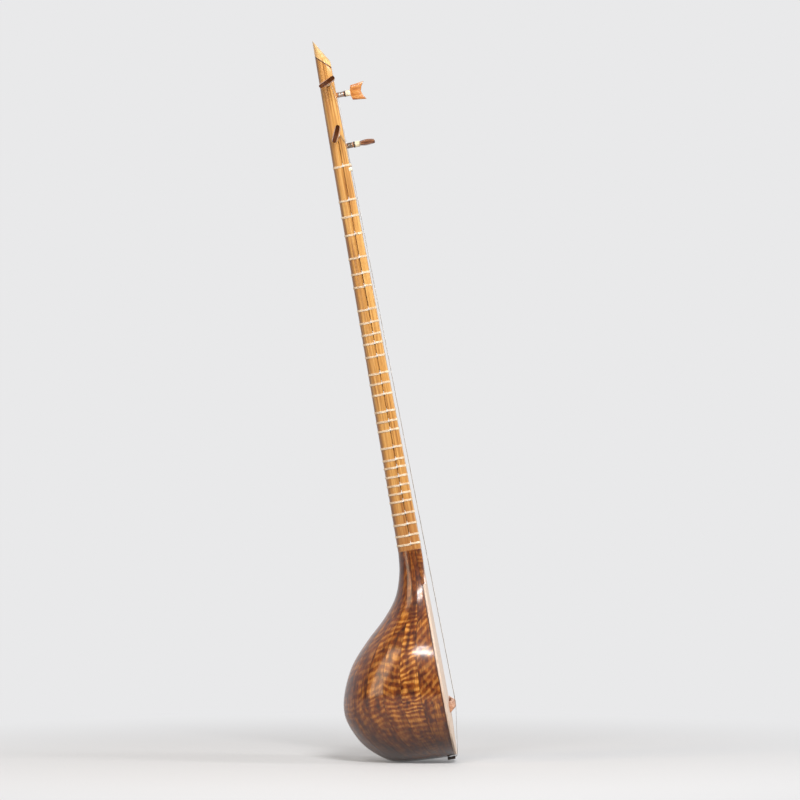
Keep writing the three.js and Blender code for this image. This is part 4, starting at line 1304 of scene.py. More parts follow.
@dataclass
class Top:
    """The crowned soundboard and the dark strip under its edge.

    Depths are measured back from the neck's front. The binding is drawn a hair inside the packed
    one's outline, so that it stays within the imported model's box.
    """

    edge_depth: float = 3.2
    thickness: float = 2.25
    crown: float = 2.4
    crown_rise: float = 49.0
    shoulder: float = 196.0
    tip: float = 222.95
    rounding: float = 0.35
    binding_depth: float = 5.5
    binding_thickness: float = 1.02
    binding_width: float = 2.4
    binding_hair: float = 0.03
    hole_height: float = 122.5
    hole_radius: float = 1.5
    hole_sides: int = 20
    ring_radius: float = 6.5
    ring_count: int = 6
    drill_span: Pair = (-9.0, 4.0)
    across: int = 24
    along: int = 96
    straight_share: float = 0.8

    def half_width(self, height: float) -> float:
        """Finds the half width of the soundboard, up to the pointed arch.

        Args:
            height: The height of the place.

        Returns:
            The half width.
        """
        rim = BOWL.rim_at(height)
        if height <= self.shoulder:
            return rim
        share = (height - self.shoulder) / (self.tip - self.shoulder)
        return min(BOWL.rim_at(self.shoulder) * math.cos(clamp(share) * math.pi / 2), rim)

    def front(self, y: float, height: float) -> float:
        """Finds how far forward the soundboard's face lies.

        Args:
            y: The place across it.
            height: The height of the place.

        Returns:
            The face's x.
        """
        rise = smoothstep(height, 0.0, self.crown_rise)
        return -self.edge_depth + self.crown * rise * (1 - clamp(abs(y) / BOWL.rim_at(height)) ** 2)

    def rows(self) -> list[Pair]:
        """Works out the soundboard's outline on one side.

        Returns:
            Its half widths and heights, from the tail to the tip of the arch.
        """
        straight = round(self.along * self.straight_share)
        shoulder_run = BOWL.run_at(self.shoulder)
        found = [BOWL.rim(shoulder_run * row / straight) for row in range(straight + 1)]
        for row in range(1, self.along - straight + 1):
            height = between(self.shoulder, self.tip, row / (self.along - straight))
            found.append((self.half_width(height), height))
        return found

    def outline(self, let_out: float) -> list[Pair]:
        """Works out the closed outline, let out by a margin.

        Args:
            let_out: The margin.

        Returns:
            The outline's y and height, from the tail round the treble side.
        """
        half = self.rows()
        ring = [Vector(p) for p in half] + [Vector((-w, h)) for w, h in reversed(half[:-1])]
        found = []
        for index, point in enumerate(ring):
            along = ring[(index + 1) % len(ring)] - ring[index - 1]
            along.normalize()
            found.append((point.x + along.y * let_out, point.y - along.x * let_out))
        return found

    def build(self, placement: Placement) -> None:
        """Builds the soundboard and its binding."""
        placement.settle(self._board(), BOARD_WOOD, replaced=["soundboard"])
        placement.settle(self._binding(), BINDING_WOOD, replaced=["edge_binding"])

    def _board(self) -> Piece:
        """Planes the soundboard and drills its sound holes.

        Returns:
            The soundboard.
        """
        rows = self.rows()

        def place(across: float, along: float) -> Vector:
            """Finds a point on the soundboard's face.

            Args:
                across: From 0 at the bass edge to 1 at the treble edge.
                along: From 0 at the tail to 1 at the tip.

            Returns:
                The point.
            """
            half, height = rows[round(along * self.along)]
            y = between(-half, half, across)
            return Vector((self.front(y, height), y, height))

        board = thicken(sheet("soundboard_top", self.across, self.along, place), self.thickness)
        with editing(board):
            bpy.ops.mesh.remove_doubles(threshold=SEAM)
        round_edges(board, self.rounding)
        near, far = (FORWARD * x for x in self.drill_span)
        drills = []
        for side in (BASSWARD, -BASSWARD):
            middle = side * BOWL.rim_at(self.hole_height) / 2 + UP * self.hole_height
            spots = [middle]
            for hole in range(self.ring_count):
                turn = math.tau * hole / self.ring_count
                spots.append(middle + self.ring_radius * Vector((0, math.cos(turn), math.sin(turn))))
            for spot in spots:
                drills.append(rod("drill", self.hole_radius, spot + near, spot + far, self.hole_sides))
        return cut(board, joined("drills", *drills))

    def _binding(self) -> Piece:
        """Bends the strip between the soundboard and the ribs.

        Returns:
            The strip.
        """
        front, back = -self.binding_depth, -self.binding_depth - self.binding_thickness
        rings = []
        for outer, inner in zip(self.outline(-self.binding_hair), self.outline(-self.binding_width)):
            corners = ((front, outer), (front, inner), (back, inner), (back, outer))
            rings.append([Vector((x, *spot)) for x, spot in corners])
        return skin("board_binding", [*rings, rings[0]])


@dataclass
class Throat:
    """The front of the block between the soundboard and the neck, and the thin strip at its joint.

    The block's face falls back towards the soundboard. It meets the soundboard's edge with a clear
    hairline, and its grain and ripple are its own.
    """

    start: float = 199.0
    depth: float = 6.55
    fall: float = 2.3
    fall_below: float = 8.0
    fall_end: float = 242.0
    steps: int = 30
    rounding: float = 0.35
    hairline: float = 0.06
    room_span: Pair = (5.0, -15.0)
    shade: float = 0.25
    ripple: float = 0.3
    ripple_gap: float = 6.0
    far_from_glue: float = 5.0
    strip_height: float = 0.9
    strip_lift: float = 0.06
    strip_sunk: float = 0.4

    def build(self, placement: Placement, top: Top) -> None:
        """Builds the throat and the strip.

        Args:
            placement: Where the instrument stands.
            top: The soundboard, which the throat leaves room for.
        """
        first = BOWL.run_at(self.start)
        rings = []
        for step in range(self.steps + 1):
            half, height = BOWL.rim(between(first, 1.0, step / self.steps))
            face = -self.fall * (1 - smoothstep(height, self.start - self.fall_below, self.fall_end))
            corners = ((face, -half), (face, half), (-self.depth, half), (-self.depth, -half))
            rings.append([Vector((x, y, height)) for x, y in corners])
        front = skin("throat_front", rings)
        near, far = self.room_span
        outline = [Vector((near, y, height)) for y, height in top.outline(self.hairline)]
        cut(front, prism("room", outline, Vector((far - near, 0, 0))))
        round_edges(front, self.rounding)
        self._draw_grain(front)
        placement.settle(front, RIB_WALNUT, replaced=["neck_block"])
        placement.settle(self._strip(), STRIP_WOOD)

    def _draw_grain(self, front: Piece) -> None:
        """Writes where each point of the throat lies in its plank.

        Args:
            front: The throat.
        """
        drawn = PlankMap(front.data, self.shade, self.ripple)
        for loop in front.data.loops:
            spot = front.data.vertices[loop.vertex_index].co
            u, v = spot.y + spot.x, spot.z
            drawn.draw(loop, (u, v), (u / self.ripple_gap, v / self.ripple_gap), self.far_from_glue)

    def _strip(self) -> Piece:
        """Bends the thin strip round the joint of bowl and neck.

        Returns:
            The strip.
        """
        low, high = NECK.foot, NECK.foot + self.strip_height
        lifted, sunk = (NECK.outline(NECK.foot, let_out) for let_out in (self.strip_lift, -self.strip_sunk))
        rings = []
        for out, deep in zip(lifted, sunk):
            corners = ((out, low), (out, high), (deep, high), (deep, low))
            rings.append([Vector((*spot.xy, height)) for spot, height in corners])
        return skin("joint_strip", [*rings, rings[0]])


# Neck and head


@dataclass
class NeckAndHead:
    """The neck with its knot groove, the dark inlay, the finial and the nut.

    The head's places are measured up from the nut.
    """

    crown_start: float = 131.5
    crown_radius: float = 13.0
    crown_ease: float = 0.3
    crown_degrees: tuple[int, ...] = (-64, -48, -32, -16, 0, 16, 32, 48, 64)
    neck_steps: int = 30
    head_steps: int = 10
    inlay_start: float = 122.0
    inlay_rise: float = 15.5
    inlay_thickness: float = 1.8
    groove_start: float = 19.0
    groove_past_nut: float = 36.0
    groove_width: float = 1.3
    groove_cut: float = 2.4
    groove_floor_share: float = 0.7
    nut_thickness: float = 3.5
    nut_height: float = 2.3
    nut_seat: float = 1.5
    nut_side_gap: float = 0.05
    nut_seat_gap: float = 0.03
    nut_shoulder_share: float = 0.55
    nut_rounding: float = 0.15
    notch_width: float = 1.2
    notch_depth: float = 0.8
    hairline: float = 0.05
    # How far a cutter reaches out of the wood, across it, in front of it and beside it
    overrun: tuple[float, float, float] = (20.0, 5.0, 4.0)

    def build(self, placement: Placement, bores: Sequence[Piece], notches: Sequence[float]) -> None:
        """Builds the neck, the inlay, the finial and the nut.

        Args:
            placement: Where the instrument stands.
            bores: Solids to cut for the pegs.
            notches: Places across the nut where strings cross it.
        """
        whole = self._whole()
        away, spot = self._slant(0.0)
        neck = slice_off(copied(whole, "neck_shaft"), spot - UP * self.hairline, away)
        inlay = slice_off(copied(whole, "head_inlay"), self._slant(self.inlay_thickness)[1], away)
        slice_off(inlay, spot, -away)
        finial = slice_off(whole, self._slant(self.inlay_thickness + self.hairline)[1], -away)
        across, ahead, _ = self.overrun
        seat = slab(
            "seat", Vector((-self.nut_seat, -across, NECK.nut - self.hairline)),
            Vector((ahead, across, NECK.nut + self.nut_thickness + self.hairline)))
        cut(neck, self._groove(), seat, *bores)
        placement.settle(neck, NECK_WOOD, replaced=["neck"])
        placement.settle(inlay, BINDING_WOOD, replaced=["finial_inlay"])
        placement.settle(named(finial, "head_cap"), FINIAL_WOOD, replaced=["head_finial"])
        placement.settle(self._nut(notches), BONE, replaced=["nut"], grain=crosswise)

    def _whole(self) -> Piece:
        """Shaves the neck and head in one piece, with the crowned facet at its tip.

        Returns:
            The piece.
        """
        foot = NECK.foot + self.hairline
        heights = [between(foot, NECK.nut, step / self.neck_steps) for step in range(self.neck_steps)]
        for step in range(self.head_steps + 1):
            heights.append(between(NECK.nut, NECK.tip, step / self.head_steps))
        whole = skin("head_cap", [NECK.outline(height) for height in heights])
        start = UP * (NECK.nut + self.crown_start)
        slope = Vector((NECK.tip - start.z, 0, NECK.depths[2])).normalized()
        # A first cut eases the facet's start, and nine planes round it from side to side
        slice_off(whole, start - FORWARD * self.crown_ease, FORWARD.lerp(slope, 0.5))
        for degrees in self.crown_degrees:
            turn = math.radians(degrees)
            side = Vector((0, math.sin(turn), 0))
            spot = start + side * self.crown_radius - slope * self.crown_radius * (1 - math.cos(turn))
            slice_off(whole, spot, slope * math.cos(turn) + side)
        return whole

    def _slant(self, lift: float) -> tuple[Vector, Vector]:
        """Returns the upward side of the inlay's planes, and a point on one at a lift above the lowest."""
        return Vector((self.inlay_rise, 0, NECK.depths[2])), UP * (NECK.nut + self.inlay_start + lift)

    def _groove(self) -> Piece:
        """Makes the solid that is cut out for the fret knots.

        Returns:
            The solid.
        """
        half, out = self.groove_width / 2, -self.overrun[2]
        floor = half * self.groove_floor_share
        section = ((half, out), (-half, out), (-floor, self.groove_cut), (floor, self.groove_cut))
        heights = (NECK.foot + self.groove_start, NECK.nut, NECK.nut + self.groove_past_nut)
        rings = []
        for height in heights:
            rings.append([NECK.groove_spot(height) + Vector((*corner, 0)) for corner in section])
        return skin("groove", rings)

    def _nut(self, notches: Sequence[float]) -> Piece:
        """Files the nut with a notch for each string.

        Args:
            notches: Places across the nut where strings cross it.

        Returns:
            The nut.
        """
        side = NECK.size(NECK.nut)[0] + self.nut_side_gap
        low, top = -self.nut_seat + self.nut_seat_gap, self.nut_height
        shoulder = top * self.nut_shoulder_share
        half = self.notch_width / 2
        outline = [(low, -side), (low, side), (top - shoulder, side), (top, side - shoulder)]
        for y in notches:
            outline += [(top, y + half), (top - self.notch_depth, y), (top, y - half)]
        outline += [(top, -side + shoulder), (top - shoulder, -side)]
        nut = prism("string_nut", [Vector((x, y, NECK.nut)) for x, y in outline], UP * self.nut_thickness)
        return round_edges(nut, self.nut_rounding, 1)


# Pegs

# How deep the side pegs' axes lie, as a share of the head's depth
SIDE_PEG_SHARE = 0.41


class PegPlace(Enum):
    """The four pegs: side, height above the nut and how far each is turned, in degrees."""

    FRONT_LOWER = ("front", 29.8, 0.0)
    FRONT_UPPER = ("front", 90.4, 90.0)
    SIDE_LOWER = ("side", 43.4, 66.0)
    SIDE_UPPER = ("side", 104.9, 25.0)

    @property
    def body(self) -> str:
        """Returns the name of the peg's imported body."""
        return f"peg_{self.name.lower()}"

    @property
    def in_front(self) -> bool:
        """Returns whether the peg stands on the front of the head."""
        return self.value[0] == "front"

    @property
    def height(self) -> float:
        """Returns the height of the peg's axis."""
        return NECK.nut + self.value[1]

    @property
    def root(self) -> Vector:
        """Finds where the peg's axis leaves the wood.

        Returns:
            The point.
        """
        if self.in_front:
            return UP * self.height
        half, depth = NECK.size(self.height)
        return Vector((-depth * SIDE_PEG_SHARE, -half, self.height))

    @property
    def outward(self) -> Vector:
        """Returns the direction in which the peg points."""
        return FORWARD if self.in_front else BASSWARD

    @property
    def matrix(self) -> Matrix:
        """Works out how a peg that is made along +X comes to its place.

        Returns:
            The matrix.
        """
        roll = Matrix.Rotation(math.radians(self.value[2]), 4, "X")
        swing = Matrix.Rotation(0.0 if self.in_front else -math.pi / 2, 4, "Z")
        return Matrix.Translation(self.root) @ swing @ roll

    def grain(self, spot: Vector) -> Vector:
        """Returns where a point of the standing peg lies in its wood, whose grain runs along the peg."""
        made = self.matrix.inverted() @ spot
        return Vector((made.y, made.z, made.x + self.height))


@dataclass
class Pegs:
    """Fishtail pegs: a shaft, a dark ring, a bone collar and a carved head.

    A section of the head is a rounded oblong. It swells from its neck to its cheeks, then widens to
    its tail, which is dented between two horns.

    Attributes:
        buried: Length of the shaft inside the head of the instrument.
        shaft: Length of the shaft outside it.
        ring: Length of the ring.
        collar: Length of the collar.
        tail: Length of the carved head.
        neck_half: Half width of the carved head where it leaves the collar.
        cheek_half: Half width that it swells to.
        half_span: Half width at its tail.
        cheek_span: Where along the carved head it swells.
        thin: Half thickness at its ends.
        thick: Half thickness at its middle.
        squareness: Power that makes its section oblong: 1 would be an ellipse.
        side_share: The share of its faces along that lie on its sides. The rest close its tail.
        dent: Depth of the hollow in its tail.
        bore: Radius of the hole for the shaft.
        roundings: Rounding of the shaft's, the ring's and the collar's edges.
        bulge_shares: The span of a sine's arch that the thickness follows.
        width_power: How late along the carved head its faces lie close together.
        hollow_power: How sharply the dent falls between the horns.
        end_facing: How far along X a face of the tail looks, from 0 to 1, if it shows end grain.
    """

    buried: float = 12.5
    shaft: float = 9.0
    ring: float = 1.6
    ring_radius: float = 3.8
    collar: float = 6.0
    collar_radius: float = 3.5
    tail: float = 17.5
    neck_half: float = 2.6
    cheek_half: float = 8.6
    half_span: float = 10.5
    cheek_span: Pair = (-0.03, 0.10)
    thin: float = 2.3
    thick: float = 3.5
    squareness: float = 0.36
    side_share: float = 0.8
    bulge_shares: Pair = (0.03, 0.98)
    width_power: float = 1.6
    hollow_power: float = 1.6
    closing_power: float = 2.5
    end_facing: float = 0.6
    dent: float = 5.2
    roundings: tuple[float, float, float] = (0.3, 0.35, 0.5)
    bore: float = 3.12
    bore_depth_gap: float = 0.3
    bore_overrun: float = 5.0
    shaft_seat: float = 0.2
    head_seat: float = 0.15
    sides: int = 40
    head_rows: int = 30

    def bores(self) -> list[Piece]:
        """Makes a solid for each peg's hole in the head.

        Returns:
            The solids.
        """
        made = []
        for place in PegPlace:
            start = place.root - place.outward * (self.buried + self.bore_depth_gap)
            end = place.root + place.outward * self.bore_overrun
            made.append(rod("bore", self.bore, start, end, self.sides))
        return made

    def build(self, placement: Placement) -> None:
        """Builds one set of parts, then copies it for each peg.

        Args:
            placement: Where the instrument stands.
        """
        ring_end = self.shaft + self.ring
        collar_end = ring_end + self.collar
        shaft_rounding, ring_rounding, collar_rounding = self.roundings
        shaft = self._turned("shaft", PEG_RADIUS, -self.buried, self.shaft + self.shaft_seat, shaft_rounding)
        ring = self._turned("ring", self.ring_radius, self.shaft, ring_end, ring_rounding)
        collar = self._turned("collar", self.collar_radius, ring_end, collar_end, collar_rounding)
        head = self._head(collar_end)
        parts = ((shaft, PEG_WOOD), (ring, DARK_WOOD), (collar, BONE), (head, PEG_WOOD))
        for place in PegPlace:
            for part, finish in parts:
                piece = copied(part, f"{place.body}_{part.name}", place.matrix)
                # The lower front peg's head is darker: partly its own tone, partly painted shade
                if part is head and place is PegPlace.FRONT_LOWER:
                    piece.data.materials[0] = DARK_SHADED_PEG_WOOD.material()
                replaced = [place.body] if part is shaft else ()
                placement.settle(piece, finish, place.body, replaced, place.grain)
        for part, _ in parts:
            bpy.data.objects.remove(part)

    def _turned(self, name: str, radius: float, start: float, end: float, rounding: float) -> Piece:
        """Returns a round part of a peg along X, between two places."""
        return round_edges(rod(name, radius, FORWARD * start, FORWARD * end, self.sides), rounding, 3)

    def _head(self, start: float) -> Piece:
        """Carves the fishtail, wide and flat, with a hollow end.

        Args:
            start: Where along the peg it begins.

        Returns:
            The carved head, with end grain on its tail.
        """
        rings = []
        for row in range(self.head_rows + 1):
            along = row / self.head_rows
            share = clamp(along / self.side_share) ** self.width_power
            closing = clamp((along - self.side_share) / (1 - self.side_share))
            swell = smoothstep(share, *self.cheek_span)
            half = between(self.neck_half, between(self.cheek_half, self.half_span, share), swell)
            bulge = math.sin(math.pi * between(*self.bulge_shares, share))
            open_share = math.sqrt(max(1 - closing**self.closing_power, 0.0))
            thick = between(self.thin, self.thick, bulge) * open_share
            reach = start - self.head_seat + (self.tail + self.head_seat) * share
            ring = []
            for side in range(self.sides):
                turn = math.tau * side / self.sides
                y = half * signed_power(math.cos(turn), self.squareness)
                z = thick * signed_power(math.sin(turn), self.squareness)
                hollow = self.dent * (1 - (abs(y) / half) ** self.hollow_power) * share**2
                ring.append(Vector((reach - hollow, y, z)))
            rings.append(ring)
        head = skin("head", rings)
        head.data.materials.append(PEG_WOOD.material())
        head.data.materials.append(PEG_END_WOOD.material())
        for face in head.data.polygons:
            if face.normal.x > self.end_facing and face.center.x > start + self.tail / 2:
                face.material_index = 1
        return head


# Gut


@dataclass
class GutBands:
    """The movable frets and the tie behind the nut: turns of gut with a knot in the groove.

    Attributes:
        radius: Radius of the gut.
        pitch: Space between two turns, from middle to middle.
        turns: How often the gut goes round.
        gap: Space between the gut and the wood.
        scale: Length of the open strings.
        tie_lift: How far the head's tie stands off the front, over the strings.
        tie_span: How far back from the front the tie's raised part begins.
        cents: How far above the open string each fret is.
        octave: Cents in an octave.
        knot_steps: Points round a knot.
        knot_size: Half height, and half of the radius of the lobes, of a knot before it is wound thick.
    """

    radius: float = 0.29
    pitch: float = 0.61
    turns: int = 4
    gap: float = 0.08
    scale: float = 655.0
    tie_lift: float = 1.95
    tie_span: float = 0.6
    cents: tuple[float, ...] = (
        91, 145, 208, 292, 352, 403, 497, 552, 604, 645, 705, 788, 838, 895,
        987, 1043, 1096, 1200, 1278, 1330, 1392, 1456, 1516, 1577, 1674, 1765, 1866, 1950)
    octave: float = 1200.0
    knot_steps: int = 48
    knot_size: Pair = (0.42, 0.27)

    def build(self, placement: Placement) -> None:
        """Builds every fret and the tie.

        Args:
            placement: Where the instrument stands.
        """
        knot = self._knot()
        for number, cents in enumerate(self.cents, start=1):
            height = NECK.nut - self.scale * (1 - 2 ** (-cents / self.octave))
            node = f"fret_{number:02d}"
            placement.settle(self._band(f"gut_{node}", height, knot, number), GUT, node, [node])
        tie = self._band("gut_head_tie", NECK.nut + TIE_PAST_NUT, knot, 0, self.tie_lift)
        placement.settle(tie, GUT, replaced=["head_tie"])
        bpy.data.objects.remove(knot)

    def _knot(self) -> Piece:
        """Ties one pulled-tight overhand knot round the origin.

        Returns:
            The knot.
        """
        thick, wide = self.knot_size
        points = []
        for step in range(self.knot_steps + 1):
            turn = math.tau * step / self.knot_steps
            points.append(Vector((
                (math.cos(turn) - 2 * math.cos(2 * turn)) * wide,
                -math.sin(3 * turn) * thick,
                (math.sin(turn) + 2 * math.sin(2 * turn)) * wide)))
        return cord("knot", points, self.radius)

    def _band(self, name: str, height: float, knot: Piece, number: int, front_lift: float = 0.0) -> Piece:
        """Winds one band.

        Args:
            name: The piece's name.
            height: The middle of the band.
            knot: The knot to copy.
            number: The fret's number, which varies the loose end.
            front_lift: How far the band stands off the front, over the strings.

        Returns:
            The band with its knot and its loose end.
        """
        outline = NECK.outline(height, self.radius + self.gap)
        if front_lift:
            for point in outline:
                if point.x > -self.tie_span:
                    point.x = max(point.x, front_lift)
        side = NECK.groove_spot(height)
        count = len(outline)
        first = min(range(count // 2), key=lambda i: (outline[i] - side).length)
        start = height - self.turns * self.pitch / 2
        points = []
        for step in range(self.turns * count + 1):
            spot = outline[(first + step) % count]
            points.append(Vector((spot.x, spot.y, start + self.pitch * step / count)))
        wound = cord(name, points, self.radius)
        # The points of the two loose ends are listed, with a sway that differs from fret to fret
        at = side + Vector((0, -self.radius * 2.2, 0.25 * math.sin(number * 2.3)))
        sway = 0.35 * math.sin(number * 1.7)
        clean = [
            Vector((0.0, 0.0, 0.0)),
            Vector((0.1, 0.25, self.pitch * 2)),
            Vector((0.1 + sway * 0.4, 0.75, self.pitch * 2 + 1.0)),
            Vector((0.1 + sway, 0.8, self.pitch * 2 + 2.2)),
        ]
        # The lower loose end is dark brown: painted shade below the knot
        shaded_tip_points = [
            Vector((0.0, -0.1, -self.pitch)),
            Vector((0.15, 0.2, -self.pitch * 2.2)),
            Vector((0.1 - sway, 0.7, -self.pitch * 3.4)),
        ]
        tied = copied(knot, "tied", Matrix.Translation(at))
        singed = cord("singed", [at + point for point in shaded_tip_points], self.radius)
        tail = cord("end", [at + point for point in clean], self.radius * 0.9)
        wound.data.materials.append(GUT.material())
        singed.data.materials.append(SHADED_GUT_TIP.material())
        return joined(name, wound, tied, tail, singed)


# Bridge, comb and strings


@dataclass
class StringSet:
    """Four strings, the bridge and nut that they cross, and the comb that holds their ends.

    The lists run from the treble side. A height is measured along the neck from the tail.
    """

    diameters: tuple[float, ...] = (0.25, 0.25, 0.30, 0.45)
    at_nut: tuple[float, ...] = (6.5, 1.5, -4.8, -7.2)
    at_bridge: tuple[float, ...] = (14.0, 4.5, -9.5, -12.5)
    at_tail: tuple[float, ...] = (6.0, 2.0, -2.5, -6.0)
    bridge_height: float = 59.0
    bridge_span: float = 62.0
    bridge_rise: float = 7.2
    bridge_steps: int = 60
    bridge_rounding: float = 0.25
    foot_width: float = 11.0
    foot_gap: float = 0.06
    top_width: float = 4.0
    arch: float = 2.6
    arch_span: Pair = (0.28, 0.62)
    shoulder_span: Pair = (0.6, 1.12)
    shoulder_fall: float = 0.5
    bridge_turn: float = math.radians(5)
    notch_depth: float = 0.8
    notch_width: float = 1.2
    notch_overrun: float = 8.0
    holder_top: float = -1.6
    holder_front: float = -5.6
    holder_size: tuple[float, float, float] = (9.0, 20.0, 3.0)
    holder_rounding: float = 0.3
    slot_half: float = 0.6
    slot_depth: float = 3.0
    slot_overrun: float = 20.0
    string_gap: float = 0.05
    string_rise: float = 0.3
    under_tie: float = 1.25
    edge_bend: float = 0.7
    coil_start: float = 1.5
    coil_length: float = 6.6
    coil_gap: float = 0.06
    coil_steps: int = 20

    def middle(self, y: float) -> float:
        """Returns the height of the bridge's ridge at a place across it."""
        return self.bridge_height + y * math.tan(self.bridge_turn)

    def ridge(self, top: Top, y: float) -> float:
        """Finds how far forward the bridge's ridge stands.

        Args:
            top: The soundboard.
            y: The place across the bridge.

        Returns:
            The ridge's x.
        """
        share = abs(y) / (self.bridge_span / 2)
        fall = 1 - self.shoulder_fall * smoothstep(share, *self.shoulder_span)
        return top.front(0, self.bridge_height) + self.bridge_rise * fall

    def build(self, placement: Placement, top: Top, neck: NeckAndHead) -> None:
        """Builds the bridge, the comb and the strings.

        Args:
            placement: Where the instrument stands.
            top: The soundboard, which the bridge stands on.
            neck: The neck, whose nut the strings cross.
        """
        placement.settle(self._bridge(top), BRIDGE_WOOD, "bridge", ["bridge"], crosswise)
        placement.settle(self._holder(), DARK_WOOD, replaced=["string_holder"], grain=crosswise)
        pegs = (PegPlace.FRONT_UPPER, PegPlace.FRONT_LOWER, PegPlace.SIDE_UPPER, PegPlace.SIDE_LOWER)
        for index, peg in enumerate(pegs):
            points = self._route(index, peg, top, neck)
            string = cord(f"wire_{index + 1}", points, self.diameters[index] / 2)
            placement.settle(string, BRASS if index % 2 else STEEL, replaced=[f"string_{index + 1}"])

    def _bridge(self, top: Top) -> Piece:
        """Carves the bridge: two feet, a low arch between them and falling shoulders.

        Args:
            top: The soundboard, whose crown the feet follow.

        Returns:
            The bridge.
        """
        foot, lip = self.foot_width / 2, self.top_width / 2
        # From the lower foot over the ridge to the upper foot: how high each corner is, and where
        # along the strings
        section = (
            (0.0, -foot), (0.25, -foot * 0.98), (0.62, -foot * 0.62), (0.9, -lip), (0.98, -lip * 0.4),
            (1.0, 0.1), (0.97, lip * 0.6), (0.88, lip), (0.6, foot * 0.6), (0.25, foot * 0.98), (0.0, foot),
            (0.0, 0.0))
        rings = []
        for step in range(self.bridge_steps + 1):
            y = between(-1, 1, step / self.bridge_steps) * self.bridge_span / 2
            arch = self.arch * (1 - smoothstep(abs(y) / (self.bridge_span / 2), *self.arch_span))
            middle, ridge = self.middle(y), self.ridge(top, y)
            ring = []
            for rise, shift in section:
                base = top.front(y, middle + shift) + self.foot_gap + arch
                ring.append(Vector((between(base, ridge, rise), y, middle + shift)))
            rings.append(ring)
        bridge = skin("carved_bridge", rings)
        notches = []
        for y in self.at_bridge:
            ridge, low = self.ridge(top, y), self.middle(y) - self.notch_overrun
            mouth = ridge + self.notch_depth
            floor = ridge - self.notch_depth / 2
            corners = ((mouth, y - self.notch_width), (mouth, y + self.notch_width), (floor, y))
            outline = [Vector((*corner, low)) for corner in corners]
            notches.append(prism("notch", outline, UP * self.notch_overrun * 2))
        return round_edges(cut(bridge, *notches), self.bridge_rounding)

    def _holder(self) -> Piece:
        """Saws the comb under the tail.

        Returns:
            The comb.
        """
        depth, width, thickness = self.holder_size
        low = Vector((self.holder_front - depth, -width / 2, self.holder_top - thickness))
        holder = slab("tail_comb", low, Vector((self.holder_front, width / 2, self.holder_top)))
        half = Vector((self.slot_depth, self.slot_half, self.slot_overrun))
        middles = [Vector((self.holder_front, y, 0)) for y in self.at_tail]
        slots = [slab("slot", middle - half, middle + half) for middle in middles]
        return round_edges(cut(holder, *slots), self.holder_rounding)

    def _route(self, index: int, peg: PegPlace, top: Top, neck: NeckAndHead) -> list[Vector]:
        """Lays one string from the comb to the last turn on its peg.

        Its points over the tail's edge and at the tie are listed. What is worked out is the
        height of the bridge and the nut, and the coil.

        Args:
            index: The string's number, from 0.
            peg: Its peg.
            top: The soundboard.
            neck: The neck, whose nut it crosses.

        Returns:
            The points along it.
        """
        radius = self.diameters[index] / 2
        tail, bridge, nut = self.at_tail[index], self.at_bridge[index], self.at_nut[index]
        lift = radius + self.string_gap
        tie = NECK.nut + TIE_PAST_NUT
        over_nut = neck.nut_height - neck.notch_depth + lift
        over_bridge = self.ridge(top, bridge) - self.notch_depth / 2 + self.string_rise + radius
        points = [
            Vector((self.holder_front - 1.5, tail, self.holder_top - 1.5)),
            Vector((-3.2, tail, self.holder_top)),
            Vector((-2.6, tail, -0.4)),
            Vector((-2.3, tail, 0.9)),
            Vector((over_bridge, bridge, self.middle(bridge))),
            Vector((over_nut, nut, NECK.nut)),
            Vector((over_nut, nut, NECK.nut + neck.nut_thickness)),
            Vector((self.under_tie, nut, tie - 0.9)),
            Vector((self.under_tie, nut, tie + 1.2)),
        ]
        if not peg.in_front:
            edge = between(tie, peg.height, self.edge_bend)
            points.append(Vector((lift + 0.15, -NECK.size(edge)[0] - lift - 0.1, edge)))
        start = -BASSWARD if peg.in_front else FORWARD
        ring = PEG_RADIUS + lift
        pitch = self.diameters[index] + self.coil_gap
        for step in range(round(self.coil_length / pitch * self.coil_steps) + 1):
            turn = math.tau * step / self.coil_steps
            middle = peg.root + peg.outward * (self.coil_start + pitch * step / self.coil_steps)
            points.append(middle + start * (ring * math.cos(turn)) + UP * (ring * math.sin(turn)))
        return points


# Studio


@dataclass
class Lamp:
    """A soft rectangular lamp.

    Attributes:
        name: Its name.
        place: Where it stands, in metres.
        aim: The point that it faces.
        size: Its width and height, in metres.
        power: Its power, in watts.
        tint: The colour of its light.
    """

    name: str
    place: tuple[float, float, float]
    aim: tuple[float, float, float]
    size: Pair
    power: float
    tint: str = "ffffff"

    def build(self) -> None:
        """Adds the lamp."""
        data = bpy.data.lights.new(self.name, "AREA")
        data.shape = "RECTANGLE"
        data.size, data.size_y = self.size
        data.energy = self.power
        data.color = colour(self.tint)[:3]
        lamp = bpy.data.objects.new(self.name, data)
        bpy.context.scene.collection.objects.link(lamp)
        lamp.location = self.place
        lamp.rotation_euler = (Vector(self.aim) - lamp.location).to_track_quat("-Z", "Y").to_euler()


